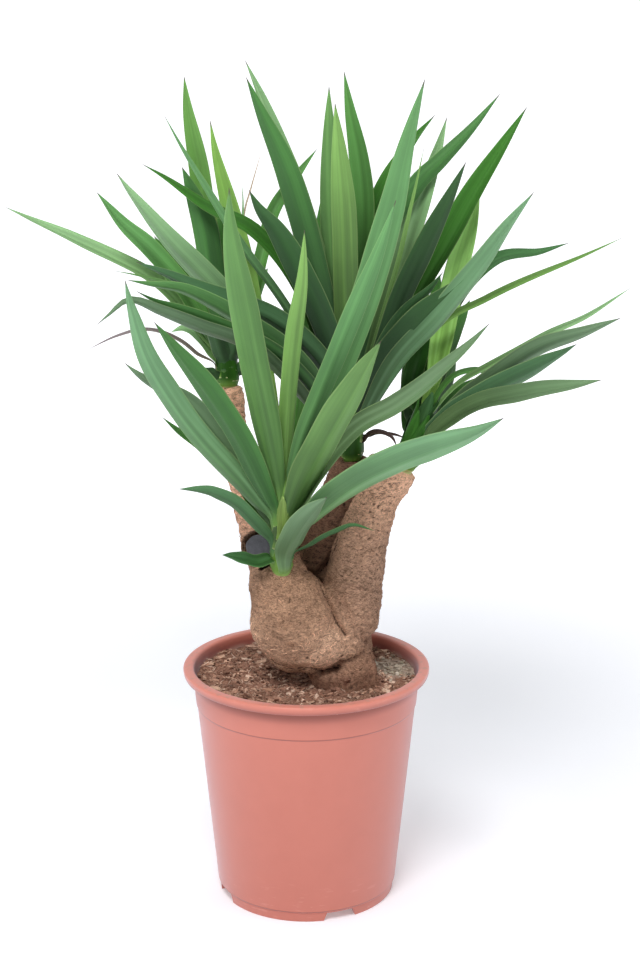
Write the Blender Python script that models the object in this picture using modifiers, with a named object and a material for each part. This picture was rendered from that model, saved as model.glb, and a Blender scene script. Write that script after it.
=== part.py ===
"""A potted yucca: a plain nursery pot, its soil, a gnarled trunk with waxed saw cuts, and four leafy heads.

Metres, +Z up. The origin is on the floor, on the pot's axis. The viewer of the photograph stands on the -Y side.
Every leaf is laid where the photograph shows it: its tip and the places it passes are pixels, and its depth is
a real distance in front of (-) or behind (+) the pot's axis.
"""

import math
from collections import namedtuple

import bmesh
import bpy
from mathutils import Matrix, Vector, noise

# Pot, radii and heights
POT_HEIGHT = 0.2325
RIM_RADIUS = 0.120
RIM_MOUTH_RADIUS = 0.1095
RIM_BEAD_HEIGHT = 0.0085
WALL_TOP_RADIUS = 0.1105
STEP_HEIGHT = 0.1952
STEP_RADIUS = 0.1078
WALL_FOOT_RADIUS = 0.0885
WALL = 0.0022
FOOT_RADIUS = 0.0862
FOOT_HEIGHT = 0.0098
FOOT_RING_WIDTH = 0.0055
POT_SIDES = 40
MERGE = 0.00001
NOTCH_AZIMUTHS = (-68, 22, 112, 202)  # degrees round from the front, to the viewer's right
NOTCH_FLOOR_WIDTH = 0.036
NOTCH_TOP_WIDTH = 0.027
NOTCH_DEPTH = 0.024
NOTCH_INSET = 0.002
NOTCH_HEADROOM = 0.0012
DRAIN_HOLE_RADIUS = 0.006
DRAIN_HOLE_CIRCLE = 0.052
HOLE_FROM_NOTCH = 45
INNER_FLOOR_CORNER = 0.006

# Soil, flat where the trunk stands and bumpy past it, and the plain hole for the root
SOIL_LEVEL = 0.2200
SOIL_BOTTOM = FOOT_HEIGHT + 0.0065
SOIL_CLEARANCE = 0.0012
SOIL_RINGS = (0.0, 0.16, 0.32, 0.48, 0.64, 0.80, 0.92, 1.0)
SOIL_SIDES = 36
SOIL_RELIEF = 0.0024
RELIEF_RISE = 3
CLUMPS_PER_METRE = 42
CRUMBS_PER_METRE = 110
CRUMB_SHARE = 0.6
LEVEL_PATCH_RADIUS = 0.060
ROOT_RADIUS = 0.026
ROOT_DEPTH = 0.085
ROOT_ABOVE_SOIL = 0.010
ROOT_CENTRE = Vector((0.032, -0.010, 0.0))
GAP = 0.0003

# Where the photograph was taken from, and its frame
EYE = Vector((0.0, -1.70, 0.85))
EYE_PITCH = math.radians(14.3)
EYE_YAW = math.radians(0.45)
FOCAL_PX = 1842.0
FRAME_MIDDLE_PX = (320.0, 480.5)

# Leaves
BLADE_THICKNESS = 0.0009
GUTTER = math.radians(13)
WIDEST_AT = 0.62
ROOT_SHARE = 0.42
RISE_SHARE = 0.34
TIP_POWER = 1.7
TIP_WIDTH = 0.0002
TIP_MERGE = 0.001
MOST_TURN = math.radians(44)
NARROW = 0.010
LONG_SECTIONS = (0.0, 0.12, 0.28, 0.47, 0.66, 0.84, 1.0)
SHORT_SECTIONS = (0.0, 0.2, 0.45, 0.74, 1.0)

FORWARD = Vector((math.sin(EYE_YAW), math.cos(EYE_YAW), -math.tan(EYE_PITCH))).normalized()
RIGHT = Vector((math.cos(EYE_YAW), -math.sin(EYE_YAW), 0.0))
UP = RIGHT.cross(FORWARD)

# A leaf: where the tip is seen, the pixels it passes on the way to its root, the tip's depth, the width it
# shows in millimetres, where on the stem it grows, from 0 low down to 1 at the growing point, and how far it
# bows to the back in millimetres
Leaf = namedtuple("Leaf", "tip via depth width at bow", defaults=(0,))

# A head: the pixels and depths of its stem's foot and growing point, its radius low down and at the top, its
# leaves, and those that the photograph hides, laid behind the ones it shows
Head = namedtuple("Head", "foot foot_depth top top_depth radius top_radius leaves hidden", defaults=({},))

# A stem's foot, which stands in a seat in the trunk, and the stretch of the stem that leaves grow on
SEAT_RADIUS = 0.0080
SEAT_SHARE = 0.10
FULL_SHARE = 0.24
WAIST_SHARE = 0.60
WAIST = 0.85
STEM_SIDES = 10
STEM_LOW, STEM_SPAN = 0.22, 0.70

FRONT_LEAVES = {
    "tall": Leaf((229, 188), [(231, 240), (249, 341), (268, 433), (277, 480)], -0.21, 28, 0.8),
    "young": Leaf((304.5, 230), [(302, 280), (294, 335), (289, 390), (286, 440)], -0.14, 17, 1.0),
    "arched_left": Leaf((125, 280), [(131, 310), (146, 358), (172, 402), (205, 445), (255, 500)], -0.15, 23, 0.5),
    "under_left": Leaf((124.5, 363), [(145, 380), (185, 402), (212, 432), (250, 485)], -0.09, 21, 0.35),
    "low_left": Leaf((162, 417), [(180, 433), (205, 451), (245, 490)], -0.05, 14, 0.2),
    "broad_left": Leaf((154, 322), [(177, 352), (212, 398), (240, 442), (262, 487)], -0.19, 23, 0.6),
    "dark_left": Leaf((178.6, 489), [(200, 490.5), (216, 494), (240, 508), (265, 535)], -0.115, 13, 0.1),
    "stub_left": Leaf((222, 555), [(238, 559), (256, 563)], -0.085, 12, 0.05),
    "stub_right": Leaf((327, 497), [(316, 508), (301, 527), (291, 548)], -0.125, 22, 0.15),
    "thin_right": Leaf((375, 531), [(354, 525.5), (337, 531), (314, 543), (299, 556)], -0.105, 5, 0.05),
    "low_right": Leaf((504, 418), [(470, 437), (430, 452), (395, 466), (355, 486), (318, 514)], -0.22, 27, 0.3),
    "long_right": Leaf((490, 323), [(465, 350), (430, 382), (395, 408), (355, 431), (318, 474)], -0.13, 19, 0.4),
    "broad_right": Leaf((381, 341), [(366, 368), (346, 405), (326, 440), (304, 482)], -0.18, 30, 0.55),
    "great": Leaf((425, 79), [(406, 150), (391, 215), (366, 298), (335, 378), (306, 450)], -0.10, 29, 0.9),
    "great_inner": Leaf((396, 200), [(379, 252), (354, 315), (322, 393), (300, 450)], -0.155, 20, 0.75),
    "back_left": Leaf((210, 120), [(216, 155), (231, 215), (245, 280), (262, 380)], 0.085, 26, 0.7, 35),
    "back_right": Leaf((330, 160), [(321, 215), (314, 265), (308, 330), (296, 430)], 0.09, 13, 0.85, 62),
}
FRONT_SHOOT = Head(
    foot=(281, 584), foot_depth=-0.046, top=(283, 500), top_depth=-0.066, radius=0.0105,
    top_radius=0.006, leaves=FRONT_LEAVES,
)

LEFT_LEAVES = {
    "long": Leaf((5, 207), [(50, 229), (115, 259), (160, 285), (196, 325)], 0.10, 14, 0.2),
    "upper": Leaf((96.5, 192), [(120, 222), (148, 249), (180, 285), (208, 330)], 0.06, 20, 0.5),
    "tall": Leaf((184, 76), [(188, 112), (198, 165), (207, 225), (216, 290)], 0.11, 22, 0.9),
    "dark": Leaf((182, 167), [(192, 192), (205, 228), (213, 275)], 0.035, 27, 0.8),
    "drooping": Leaf((87, 350), [(118, 336), (150, 330), (180, 341), (206, 362)], 0.02, 4, 0.05),
    "pale_stub": Leaf((171, 332), [(185, 329), (202, 340)], 0.065, 12, 0.1),
    "thin_a": Leaf((263, 146), [(251, 188), (244, 215), (238, 270)], 0.13, 4, 0.95),
    "thin_b": Leaf((242, 183), [(244, 210), (240, 270)], 0.10, 4, 1.0),
    "to_right": Leaf((317, 149), [(300, 172), (275, 209), (262, 255), (248, 310)], 0.16, 15, 0.9),
}
LEFT_HIDDEN = {
    "behind_a": Leaf((197, 150), [(212, 260)], 0.17, 22, 0.85),
    "behind_b": Leaf((224, 192), [(226, 280)], 0.21, 25, 0.7),
    "behind_c": Leaf((268, 268), [(246, 310)], 0.20, 24, 0.5),
    "behind_d": Leaf((154, 236), [(188, 290)], 0.16, 22, 0.56),
    "behind_e": Leaf((232, 262), [(229, 315)], 0.22, 25, 0.44),
    "behind_f": Leaf((188, 278), [(208, 325)], 0.20, 24, 0.3),
    "behind_g": Leaf((205, 318), [(217, 345)], 0.19, 22, 0.1),
    "behind_h": Leaf((262, 312), [(245, 340)], 0.19, 22, 0.15),
}
LEFT_HEAD = Head(
    foot=(228, 393), foot_depth=0.054, top=(226, 336), top_depth=0.060, radius=0.0108,
    top_radius=0.007, leaves=LEFT_LEAVES, hidden=LEFT_HIDDEN,
)

MIDDLE_LEAVES = {
    "pale_left": Leaf((116.5, 173), [(133, 197), (174, 247), (222, 297), (275, 348), (325, 405)], -0.02, 25, 0.3),
    "left_a": Leaf((136, 262), [(170, 276), (208, 295), (272, 320), (318, 360), (342, 410)], -0.04, 21, 0.2),
    "left_b": Leaf((127, 280), [(150, 285), (185, 291), (228, 314), (285, 350), (330, 405)], -0.08, 17, 0.12),
    "left_c": Leaf((136, 291), [(158, 303), (188, 314), (230, 332), (285, 362), (330, 415)], -0.115, 15, 0.05),
    "left_drooping": Leaf((97, 325), [(109, 315), (130, 301), (160, 312), (200, 328), (262, 356), (326, 425)],
                          -0.15, 14, 0.0),
    "left_thin": Leaf((114, 271), [(135, 275), (170, 284), (228, 305), (290, 348)], -0.045, 6, 0.25),
    "edge_on": Leaf((164, 115), [(183, 150), (210, 195), (243, 248), (288, 310), (330, 390)], -0.02, 9, 0.5),
    "blue_left": Leaf((142, 164), [(165, 178), (205, 206), (255, 233), (300, 290), (334, 385)], 0.035, 15, 0.6),
    "dark_tall": Leaf((246, 77), [(262, 115), (283, 162), (296, 200), (312, 258), (336, 360)], -0.02, 27, 0.85),
    "pale_tall": Leaf((245, 60), [(262, 98), (281, 147), (301, 203), (326, 290)], 0.03, 20, 0.95),
    "dark_left": Leaf((249, 190), [(259, 209), (276, 232), (298, 272), (326, 335)], -0.055, 27, 0.65),
    "behind_bright": Leaf((329, 86), [(329, 125), (331, 190), (333, 245), (338, 310)], 0.02, 24, 1.0),
    "bright": Leaf((335, 103), [(339, 150), (344, 215), (346, 290), (348, 370)], -0.03, 26, 0.95),
    "dark_right": Leaf((344, 71), [(350, 110), (359, 160), (363, 215), (359, 300)], 0.05, 24, 0.9),
    "in_shade": Leaf((435, 115), [(412, 142), (385, 185), (366, 245), (357, 330)], 0.09, 20, 0.8),
    "pale_right": Leaf((447, 117), [(438, 150), (422, 200), (402, 258), (383, 318), (362, 390)], 0.03, 23, 0.7),
    "thin_right": Leaf((424, 148), [(417, 180), (409, 215), (396, 270), (372, 350)], 0.00, 5, 0.75),
    "fan_right": Leaf((500, 94), [(470, 130), (440, 162), (418, 192), (392, 255), (366, 350)], 0.01, 19, 0.55),
    "outer_right": Leaf((527, 107), [(500, 150), (472, 195), (446, 242), (408, 310), (370, 400)], 0.02, 24, 0.45),
    "dark_outer": Leaf((466, 162), [(448, 200), (424, 250), (401, 300), (374, 380)], -0.035, 23, 0.5),
    "small_dark": Leaf((443, 272), [(430, 289), (404, 315), (378, 358)], -0.03, 15, 0.35),
    "broad_dark": Leaf((469, 275), [(450, 292), (418, 325), (390, 358), (365, 405)], -0.08, 29, 0.25),
    "folded": Leaf((534, 192), [(513, 220), (479, 268), (440, 317), (400, 360), (366, 415)], -0.135, 21, 0.1),
    "olive_thin": Leaf((623, 237.5), [(584, 256), (532, 278), (486, 300), (440, 325), (385, 385)], -0.05, 7, 0.2),
}
MIDDLE_HIDDEN = {
    "behind_a": Leaf((272, 152), [(318, 280)], 0.12, 24, 0.9),
    "behind_b": Leaf((354, 138), [(353, 280)], 0.14, 25, 1.0),
    "behind_c": Leaf((404, 172), [(372, 290)], 0.16, 25, 0.85),
    "behind_d": Leaf((331, 195), [(342, 300)], 0.20, 26, 0.7),
    "behind_e": Leaf((452, 218), [(398, 310)], 0.17, 24, 0.5),
    "behind_f": Leaf((300, 255), [(330, 340)], 0.20, 26, 0.5),
    "behind_g": Leaf((372, 245), [(360, 330)], 0.21, 27, 0.55),
    "behind_h": Leaf((415, 292), [(380, 355)], 0.21, 26, 0.3),
    "behind_i": Leaf((332, 302), [(342, 360)], 0.21, 25, 0.25),
    "behind_j": Leaf((378, 322), [(362, 370)], 0.20, 24, 0.15),
}
MIDDLE_HEAD = Head(
    foot=(352, 468), foot_depth=0.034, top=(350, 390), top_depth=0.022, radius=0.0115,
    top_radius=0.007, leaves=MIDDLE_LEAVES, hidden=MIDDLE_HIDDEN,
)

RIGHT_LEAVES = {
    "bright": Leaf((480, 178), [(470, 225), (455, 278), (441, 345), (430, 400)], 0.05, 24, 1.0),
    "outer_dark": Leaf((569, 243), [(540, 252), (497, 260), (458, 300), (434, 370)], 0.075, 14, 0.8),
    "pale_long": Leaf((630.5, 288), [(588, 316), (546, 336), (490, 366), (452, 390)], -0.055, 7, 0.5),
    "bent": Leaf((531, 375.6), [(500, 376), (472, 371), (446, 384)], -0.005, 6, 0.45),
    "long": Leaf((621, 318), [(585, 333), (545, 347), (505, 371), (460, 405)], -0.075, 18, 0.35),
    "middle": Leaf((577, 344), [(552, 360), (515, 380), (472, 403), (442, 424)], -0.09, 20, 0.25),
    "low": Leaf((602, 380), [(565, 388), (525, 395), (480, 405), (446, 424)], -0.14, 18, 0.05),
    "inner_dark": Leaf((436, 300), [(424, 340), (412, 385), (412, 425)], 0.05, 21, 0.6, 10),
}
RIGHT_HIDDEN = {
    "behind_a": Leaf((467, 240), [(447, 320)], 0.13, 23, 0.95),
    "behind_b": Leaf((440, 275), [(430, 340)], 0.17, 25, 0.8),
    "behind_c": Leaf((470, 300), [(446, 350)], 0.20, 25, 0.6),
    "behind_d": Leaf((447, 318), [(434, 365)], 0.21, 26, 0.45),
    "behind_e": Leaf((420, 325), [(416, 375)], 0.165, 24, 0.3),
    "behind_f": Leaf((505, 372), [(462, 395)], 0.14, 20, 0.25),
    "behind_g": Leaf((456, 362), [(440, 395)], 0.20, 24, 0.15),
    "behind_h": Leaf((406, 350), [(410, 390)], 0.17, 20, 0.1),
}
RIGHT_HEAD = Head(
    foot=(402, 475), foot_depth=0.006, top=(427, 406), top_depth=0.004, radius=0.0120,
    top_radius=0.008, leaves=RIGHT_LEAVES, hidden=RIGHT_HIDDEN,
)

HEADS = {
    "front_shoot": FRONT_SHOOT, "left_head": LEFT_HEAD, "middle_head": MIDDLE_HEAD, "right_head": RIGHT_HEAD,
}

# The trunk's limbs: pixels, depth and radius along each, from the soil up
Knot = namedtuple("Knot", "at depth radius")
TRUNK_LIMBS = {
    "bulge": [
        Knot((301, 655), -0.026, 0.0190), Knot((298, 645), -0.030, 0.0310), Knot((294, 624), -0.034, 0.0400),
        Knot((288, 604), -0.034, 0.0375), Knot((281, 588), -0.033, 0.0310), Knot((277, 575), -0.028, 0.0265),
        Knot((275, 562), -0.010, 0.0205),
    ],
    "right": [
        Knot((351, 638), -0.012, 0.0140), Knot((351, 627), -0.013, 0.0235), Knot((352, 610), -0.014, 0.0270),
        Knot((353, 588), -0.013, 0.0275), Knot((357, 558), -0.008, 0.0265), Knot((366, 528), -0.004, 0.0230),
        Knot((376, 502), 0.000, 0.0205), Knot((388, 478), 0.002, 0.0220), Knot((395, 456), 0.003, 0.0230),
    ],
    "flare": [
        Knot((338, 712), -0.016, 0.0420), Knot((340, 676), -0.012, 0.0300), Knot((341, 650), -0.006, 0.0220),
        Knot((346, 626), -0.004, 0.0220),
    ],
    "middle": [
        Knot((330, 690), 0.016, 0.0270), Knot((325, 650), 0.020, 0.0270), Knot((318, 600), 0.026, 0.0290),
        Knot((323, 548), 0.032, 0.0235), Knot((337, 503), 0.034, 0.0185), Knot((350, 470), 0.034, 0.0185),
        Knot((351, 459), 0.033, 0.0150),
    ],
    "left": [
        Knot((304, 655), 0.014, 0.0200), Knot((300, 640), 0.018, 0.0300), Knot((280, 580), 0.020, 0.0270),
        Knot((262, 530), 0.030, 0.0215), Knot((247, 484), 0.042, 0.0170), Knot((231, 440), 0.052, 0.0160),
        Knot((229, 408), 0.054, 0.0140), Knot((228, 388), 0.054, 0.0125),
    ],
    "stub": [
        Knot((283, 562), 0.000, 0.0180), Knot((269, 551), -0.022, 0.0165), Knot((254, 547), -0.052, 0.0165),
    ],
}
LIMB_SIDES = 14
LIMB_STEPS = 3
TRUNK_VOXEL = 0.0045
TRUNK_SMOOTHINGS = 3
TRUNK_SHARE_KEPT = 0.11

# Sawn ends: where the saw went through, which way the cut faces, how far it reaches, and the wax disc on it
Saw = namedtuple("Saw", "at depth faces reach wax_at wax_depth wax_radius")
SAWS = {
    "wax_front": Saw((258, 547.5), -0.044, Vector((-0.22, -0.97, 0.08)), 0.021, (259, 547.5), -0.044, 0.0125),
    "wax_right": Saw((393, 466), 0.003, Vector((0.43, -0.06, 0.90)), 0.034, (382.5, 460.5), -0.003, 0.0105),
}
SAWN_OFF_LENGTH = 0.040
WAX_THICKNESS = 0.0016
WAX_TOP_SHARE = 0.94
ROUND_SIDES = 20


def seen_at(pixel, depth):
    """The point on the plane y = depth that the photograph shows at this pixel."""
    aside = (pixel[0] - FRAME_MIDDLE_PX[0]) / FOCAL_PX
    above = (FRAME_MIDDLE_PX[1] - pixel[1]) / FOCAL_PX
    ray = FORWARD + RIGHT * aside + UP * above
    return EYE + ray * ((depth - EYE.y) / ray.y)


def pixel_of(point):
    """Where the photograph shows a point."""
    ray = point - EYE
    far = ray.dot(FORWARD)
    across, high = ray.dot(RIGHT) / far, ray.dot(UP) / far
    return FRAME_MIDDLE_PX[0] + FOCAL_PX * across, FRAME_MIDDLE_PX[1] - FOCAL_PX * high


def collection(name):
    made = bpy.data.collections.new(name)
    bpy.context.scene.collection.children.link(made)
    return made


def finish(name, colour, roughness):
    """A plain Principled material."""
    material = bpy.data.materials.new(name)
    material.use_nodes = True
    shader = material.node_tree.nodes["Principled BSDF"]
    shader.inputs["Base Color"].default_value = (*colour, 1.0)
    shader.inputs["Roughness"].default_value = roughness
    return material


def new_object(name, mesh, group):
    made = bpy.data.objects.new(name, mesh)
    group.objects.link(made)
    return made


def mesh_of(bm, name):
    mesh = bpy.data.meshes.new(name)
    bm.to_mesh(mesh)
    bm.free()
    return mesh


def modified_mesh(thing):
    """The object's mesh as its modifiers leave it."""
    bpy.context.view_layer.update()
    return bpy.data.meshes.new_from_object(thing.evaluated_get(bpy.context.evaluated_depsgraph_get()))


def apply_modifiers(thing):
    mesh = modified_mesh(thing)
    thing.modifiers.clear()
    thing.data = mesh


def remove(thing):
    bpy.data.objects.remove(thing)


def turned(name, profile, sides, group):
    """A profile of (radius, height) points, from the axis round to the axis again, spun about Z."""
    bm = bmesh.new()
    points = [bm.verts.new((r, 0.0, z)) for r, z in profile]
    for one, other in zip(points, points[1:]):
        bm.edges.new((one, other))
    made = new_object(name, mesh_of(bm, name), group)
    screw = made.modifiers.new("turn", "SCREW")
    screw.steps = screw.render_steps = sides
    screw.use_merge_vertices = True
    screw.merge_threshold = MERGE
    apply_modifiers(made)
    return made


def outward(thing):
    bm = bmesh.new()
    bm.from_mesh(thing.data)
    bmesh.ops.recalc_face_normals(bm, faces=bm.faces)
    bm.to_mesh(thing.data)
    bm.free()


def keep_outer_surface(mesh):
    """Drops the inner surfaces and scraps that a union leaves, and keeps the largest closed surface."""
    bm = bmesh.new()
    bm.from_mesh(mesh)
    left = set(bm.faces)
    surfaces = []
    while left:
        surface, to_visit = set(), [left.pop()]
        while to_visit:
            face = to_visit.pop()
            surface.add(face)
            near = {other for edge in face.edges for other in edge.link_faces} & left
            left -= near
            to_visit.extend(near)
        surfaces.append(surface)
    outer = max(surfaces, key=lambda surface: sum(face.calc_area() for face in surface))
    bmesh.ops.delete(bm, geom=[face for face in bm.faces if face not in outer], context="FACES")
    bmesh.ops.delete(bm, geom=[vert for vert in bm.verts if not vert.link_faces], context="VERTS")
    bmesh.ops.triangulate(bm, faces=bm.faces)
    bm.to_mesh(mesh)
    bm.free()


def cut(thing, cutters):
    """Takes each cutter away from the thing, and drops the cutters."""
    for cutter in cutters:
        boolean = thing.modifiers.new(cutter.name, "BOOLEAN")
        boolean.operation = "DIFFERENCE"
        boolean.solver = "EXACT"
        boolean.object = cutter
    apply_modifiers(thing)
    for cutter in cutters:
        remove(cutter)


def joined(name, pieces):
    """One solid from several: a Boolean union on their collection, applied."""
    first, *others = pieces
    repeats = collection(name + "_repeats")
    for piece in others:
        for owner in list(piece.users_collection):
            owner.objects.unlink(piece)
        repeats.objects.link(piece)
    union = first.modifiers.new("union", "BOOLEAN")
    union.operation = "UNION"
    union.solver = "MANIFOLD"
    union.operand_type = "COLLECTION"
    union.collection = repeats
    apply_modifiers(first)
    for piece in others:
        remove(piece)
    bpy.data.collections.remove(repeats)
    keep_outer_surface(first.data)
    first.name = name
    return first


def smooth_path(points, per_span=6):
    """A Catmull-Rom path through the points, as closely spaced points."""
    ends = [points[0] * 2 - points[1], *points, points[-1] * 2 - points[-2]]
    path = []
    for a, b, c, d in zip(ends, ends[1:], ends[2:], ends[3:]):
        for step in range(per_span):
            t = step / per_span
            bend = (2 * a - 5 * b + 4 * c - d) * t**2 + (3 * b - a - 3 * c + d) * t**3
            path.append(0.5 * (2 * b + (c - a) * t + bend))
    return path + [points[-1]]


def along(path, share):
    """The point at this share of the path's length, and the direction there."""
    lengths = [0.0]
    for one, other in zip(path, path[1:]):
        lengths.append(lengths[-1] + (other - one).length)
    goal = share * lengths[-1]
    index = next((i for i in range(len(path) - 1) if lengths[i + 1] >= goal), len(path) - 2)
    span = max(lengths[index + 1] - lengths[index], 1e-9)
    point = path[index].lerp(path[index + 1], (goal - lengths[index]) / span)
    return point, (path[min(index + 2, len(path) - 1)] - path[max(index - 1, 0)]).normalized()


def blade_width(share):
    """The width of a sword-shaped blade as a share of its widest, from its root at 0 to its tip at 1."""
    if share < WIDEST_AT:
        rise = min(share / RISE_SHARE, 1.0)
        return ROOT_SHARE + (1 - ROOT_SHARE) * rise * rise * (3 - 2 * rise)
    return 1 - ((share - WIDEST_AT) / (1 - WIDEST_AT)) ** TIP_POWER


def natural_turn(heading, towards_eye):
    """How far a blade that lies level across its rise is turned from one that faces the eye."""
    across = heading.cross(towards_eye).normalized()
    level = heading.cross(Vector((0, 0, 1))).normalized()
    if across.dot(level) < 0:
        level = -level
    return math.atan2(heading.dot(across.cross(level)), across.dot(level))


def shown_turn(heading, towards_eye):
    """The turn of a leaf that the photograph shows: steep ones face the eye, and low ones lie flatter."""
    natural = natural_turn(heading, towards_eye)
    return math.copysign(min(abs(natural), MOST_TURN) * (1 - heading.z**4), natural)


def blade(name, path, width, turn_rule, group):
    """A long pointed blade: a gutter of two strips, extruded from section to section and made thick."""
    middle, heading = along(path, 0.5)
    turn = turn_rule(heading, (EYE - middle).normalized())
    if turn_rule is shown_turn:
        width /= math.cos(turn)
    spin = Matrix.Rotation(turn, 3, heading)
    face = (spin @ heading.cross(EYE - middle).normalized()).cross(heading)
    upper = 1 if face.z > 0 else -1
    sections = LONG_SECTIONS if width > NARROW else SHORT_SECTIONS
    bm = bmesh.new()
    row = [bm.verts.new() for _ in range(3)]
    edges = [bm.edges.new(row[:2]), bm.edges.new(row[1:])]
    for share in sections:
        centre, direction = along(path, share)
        across = Matrix.Rotation(turn, 3, direction) @ direction.cross(EYE - centre).normalized()
        reach = max(width * blade_width(share), TIP_WIDTH) / 2
        half = across * reach * math.cos(GUTTER)
        lift = across.cross(direction) * upper * reach * math.sin(GUTTER)
        for vert, place in zip(row, (centre - half + lift, centre, centre + half + lift)):
            vert.co = place
        if share < 1.0:
            made = bmesh.ops.extrude_edge_only(bm, edges=edges)["geom"]
            edges = [part for part in made if isinstance(part, bmesh.types.BMEdge)]
            row = ordered(edges)
    bmesh.ops.triangulate(bm, faces=bm.faces)
    bmesh.ops.remove_doubles(bm, verts=row, dist=TIP_MERGE)
    bmesh.ops.recalc_face_normals(bm, faces=bm.faces)
    bmesh.ops.solidify(bm, geom=bm.faces, thickness=BLADE_THICKNESS)
    bmesh.ops.triangulate(bm, faces=bm.faces)
    return new_object(name, mesh_of(bm, name), group)


def ordered(edges):
    """The three vertices of two joined edges, in line. The first edge given holds the first vertex."""
    shared = (set(edges[0].verts) & set(edges[1].verts)).pop()
    return [edges[0].other_vert(shared), shared, edges[1].other_vert(shared)]


def tube(name, knots, sides, group):
    """A tapered tube through (point, radius) knots, from a bevelled curve with filled ends, welded."""
    curve = bpy.data.curves.new(name, "CURVE")
    curve.dimensions = "3D"
    curve.bevel_depth = 1.0
    curve.bevel_resolution = max(sides // 2 - 2, 0)
    curve.use_fill_caps = True
    spline = curve.splines.new("POLY")
    spline.points.add(len(knots) - 1)
    for point, (place, radius) in zip(spline.points, knots):
        point.co = (*place, 1.0)
        point.radius = radius
    made = new_object(name, curve, group)
    mesh = modified_mesh(made)
    remove(made)
    bm = bmesh.new()
    bm.from_mesh(mesh)
    bmesh.ops.remove_doubles(bm, verts=bm.verts, dist=MERGE)
    bmesh.ops.recalc_face_normals(bm, faces=bm.faces)
    bm.to_mesh(mesh)
    bm.free()
    return new_object(name, mesh, group)


def make_pot(group):
    """A thin wall with a rolled rim, a step below its rim band, and a foot ring with notches and holes."""
    inner_ring = FOOT_RADIUS - FOOT_RING_WIDTH
    inner_foot = WALL_FOOT_RADIUS - WALL
    bead_bottom = POT_HEIGHT - RIM_BEAD_HEIGHT
    profile = [
        (0.0, FOOT_HEIGHT), (inner_ring, FOOT_HEIGHT), (inner_ring + 0.0008, 0.0), (FOOT_RADIUS, 0.0),
        (FOOT_RADIUS + 0.0006, FOOT_HEIGHT - 0.001), (WALL_FOOT_RADIUS, FOOT_HEIGHT + 0.001),
        (STEP_RADIUS - 0.0010, STEP_HEIGHT - 0.0012), (STEP_RADIUS, STEP_HEIGHT),
        (WALL_TOP_RADIUS, bead_bottom - 0.0004), (RIM_RADIUS - 0.0035, bead_bottom),
        (RIM_RADIUS - 0.0012, bead_bottom + 0.0008), (RIM_RADIUS, bead_bottom + 0.0026),
        (RIM_RADIUS, POT_HEIGHT - 0.0028), (RIM_RADIUS - 0.0008, POT_HEIGHT - 0.0010),
        (RIM_RADIUS - 0.0026, POT_HEIGHT), (RIM_MOUTH_RADIUS + 0.0020, POT_HEIGHT),
        (RIM_MOUTH_RADIUS + 0.0004, POT_HEIGHT - 0.0010), (RIM_MOUTH_RADIUS, POT_HEIGHT - 0.0030),
        (WALL_TOP_RADIUS - WALL, bead_bottom - 0.0030), (STEP_RADIUS - WALL, STEP_HEIGHT),
        (inner_foot, FOOT_HEIGHT + INNER_FLOOR_CORNER), (inner_foot - 0.003, FOOT_HEIGHT + WALL),
        (0.0, FOOT_HEIGHT + WALL),
    ]
    pot = turned("pot", profile[::-1], POT_SIDES, group)
    outward(pot)
    cut(pot, [drain_notch(azimuth, group) for azimuth in NOTCH_AZIMUTHS]
        + [drain_hole(azimuth + HOLE_FROM_NOTCH, group) for azimuth in NOTCH_AZIMUTHS])
    return pot


def from_front(azimuth):
    """The unit vector this many degrees round from the front."""
    angle = math.radians(azimuth)
    return Vector((math.sin(angle), -math.cos(angle), 0.0))


def drain_notch(azimuth, group):
    """A wedge that opens the foot ring from outside, wider at the floor."""
    bm = bmesh.new()
    bmesh.ops.create_cube(bm, size=1.0)
    for vert in bm.verts:
        is_top = vert.co.z > 0
        width = NOTCH_TOP_WIDTH if is_top else NOTCH_FLOOR_WIDTH
        height = FOOT_HEIGHT - NOTCH_HEADROOM if is_top else -NOTCH_INSET
        vert.co = Vector((vert.co.x * width, vert.co.y * NOTCH_DEPTH, height))
    turn = Matrix.Rotation(math.radians(azimuth), 4, "Z")
    bm.transform(Matrix.Translation(from_front(azimuth) * (FOOT_RADIUS - NOTCH_INSET)) @ turn)
    return new_object("notch", mesh_of(bm, "notch"), group)


def drain_hole(azimuth, group):
    bm = bmesh.new()
    place = Matrix.Translation(from_front(azimuth) * DRAIN_HOLE_CIRCLE + Vector((0, 0, FOOT_HEIGHT)))
    radius = DRAIN_HOLE_RADIUS
    bmesh.ops.create_cone(bm, cap_ends=True, segments=12, radius1=radius, radius2=radius, depth=4 * WALL,
                          matrix=place)
    return new_object("hole", mesh_of(bm, "hole"), group)


def inner_radius(height):
    """The pot's inner radius at this height, where the soil lies against it."""
    low, high = FOOT_HEIGHT + INNER_FLOOR_CORNER, STEP_HEIGHT
    share = (height - low) / (high - low)
    return WALL_FOOT_RADIUS - WALL + share * (STEP_RADIUS - WALL_FOOT_RADIUS)


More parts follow.
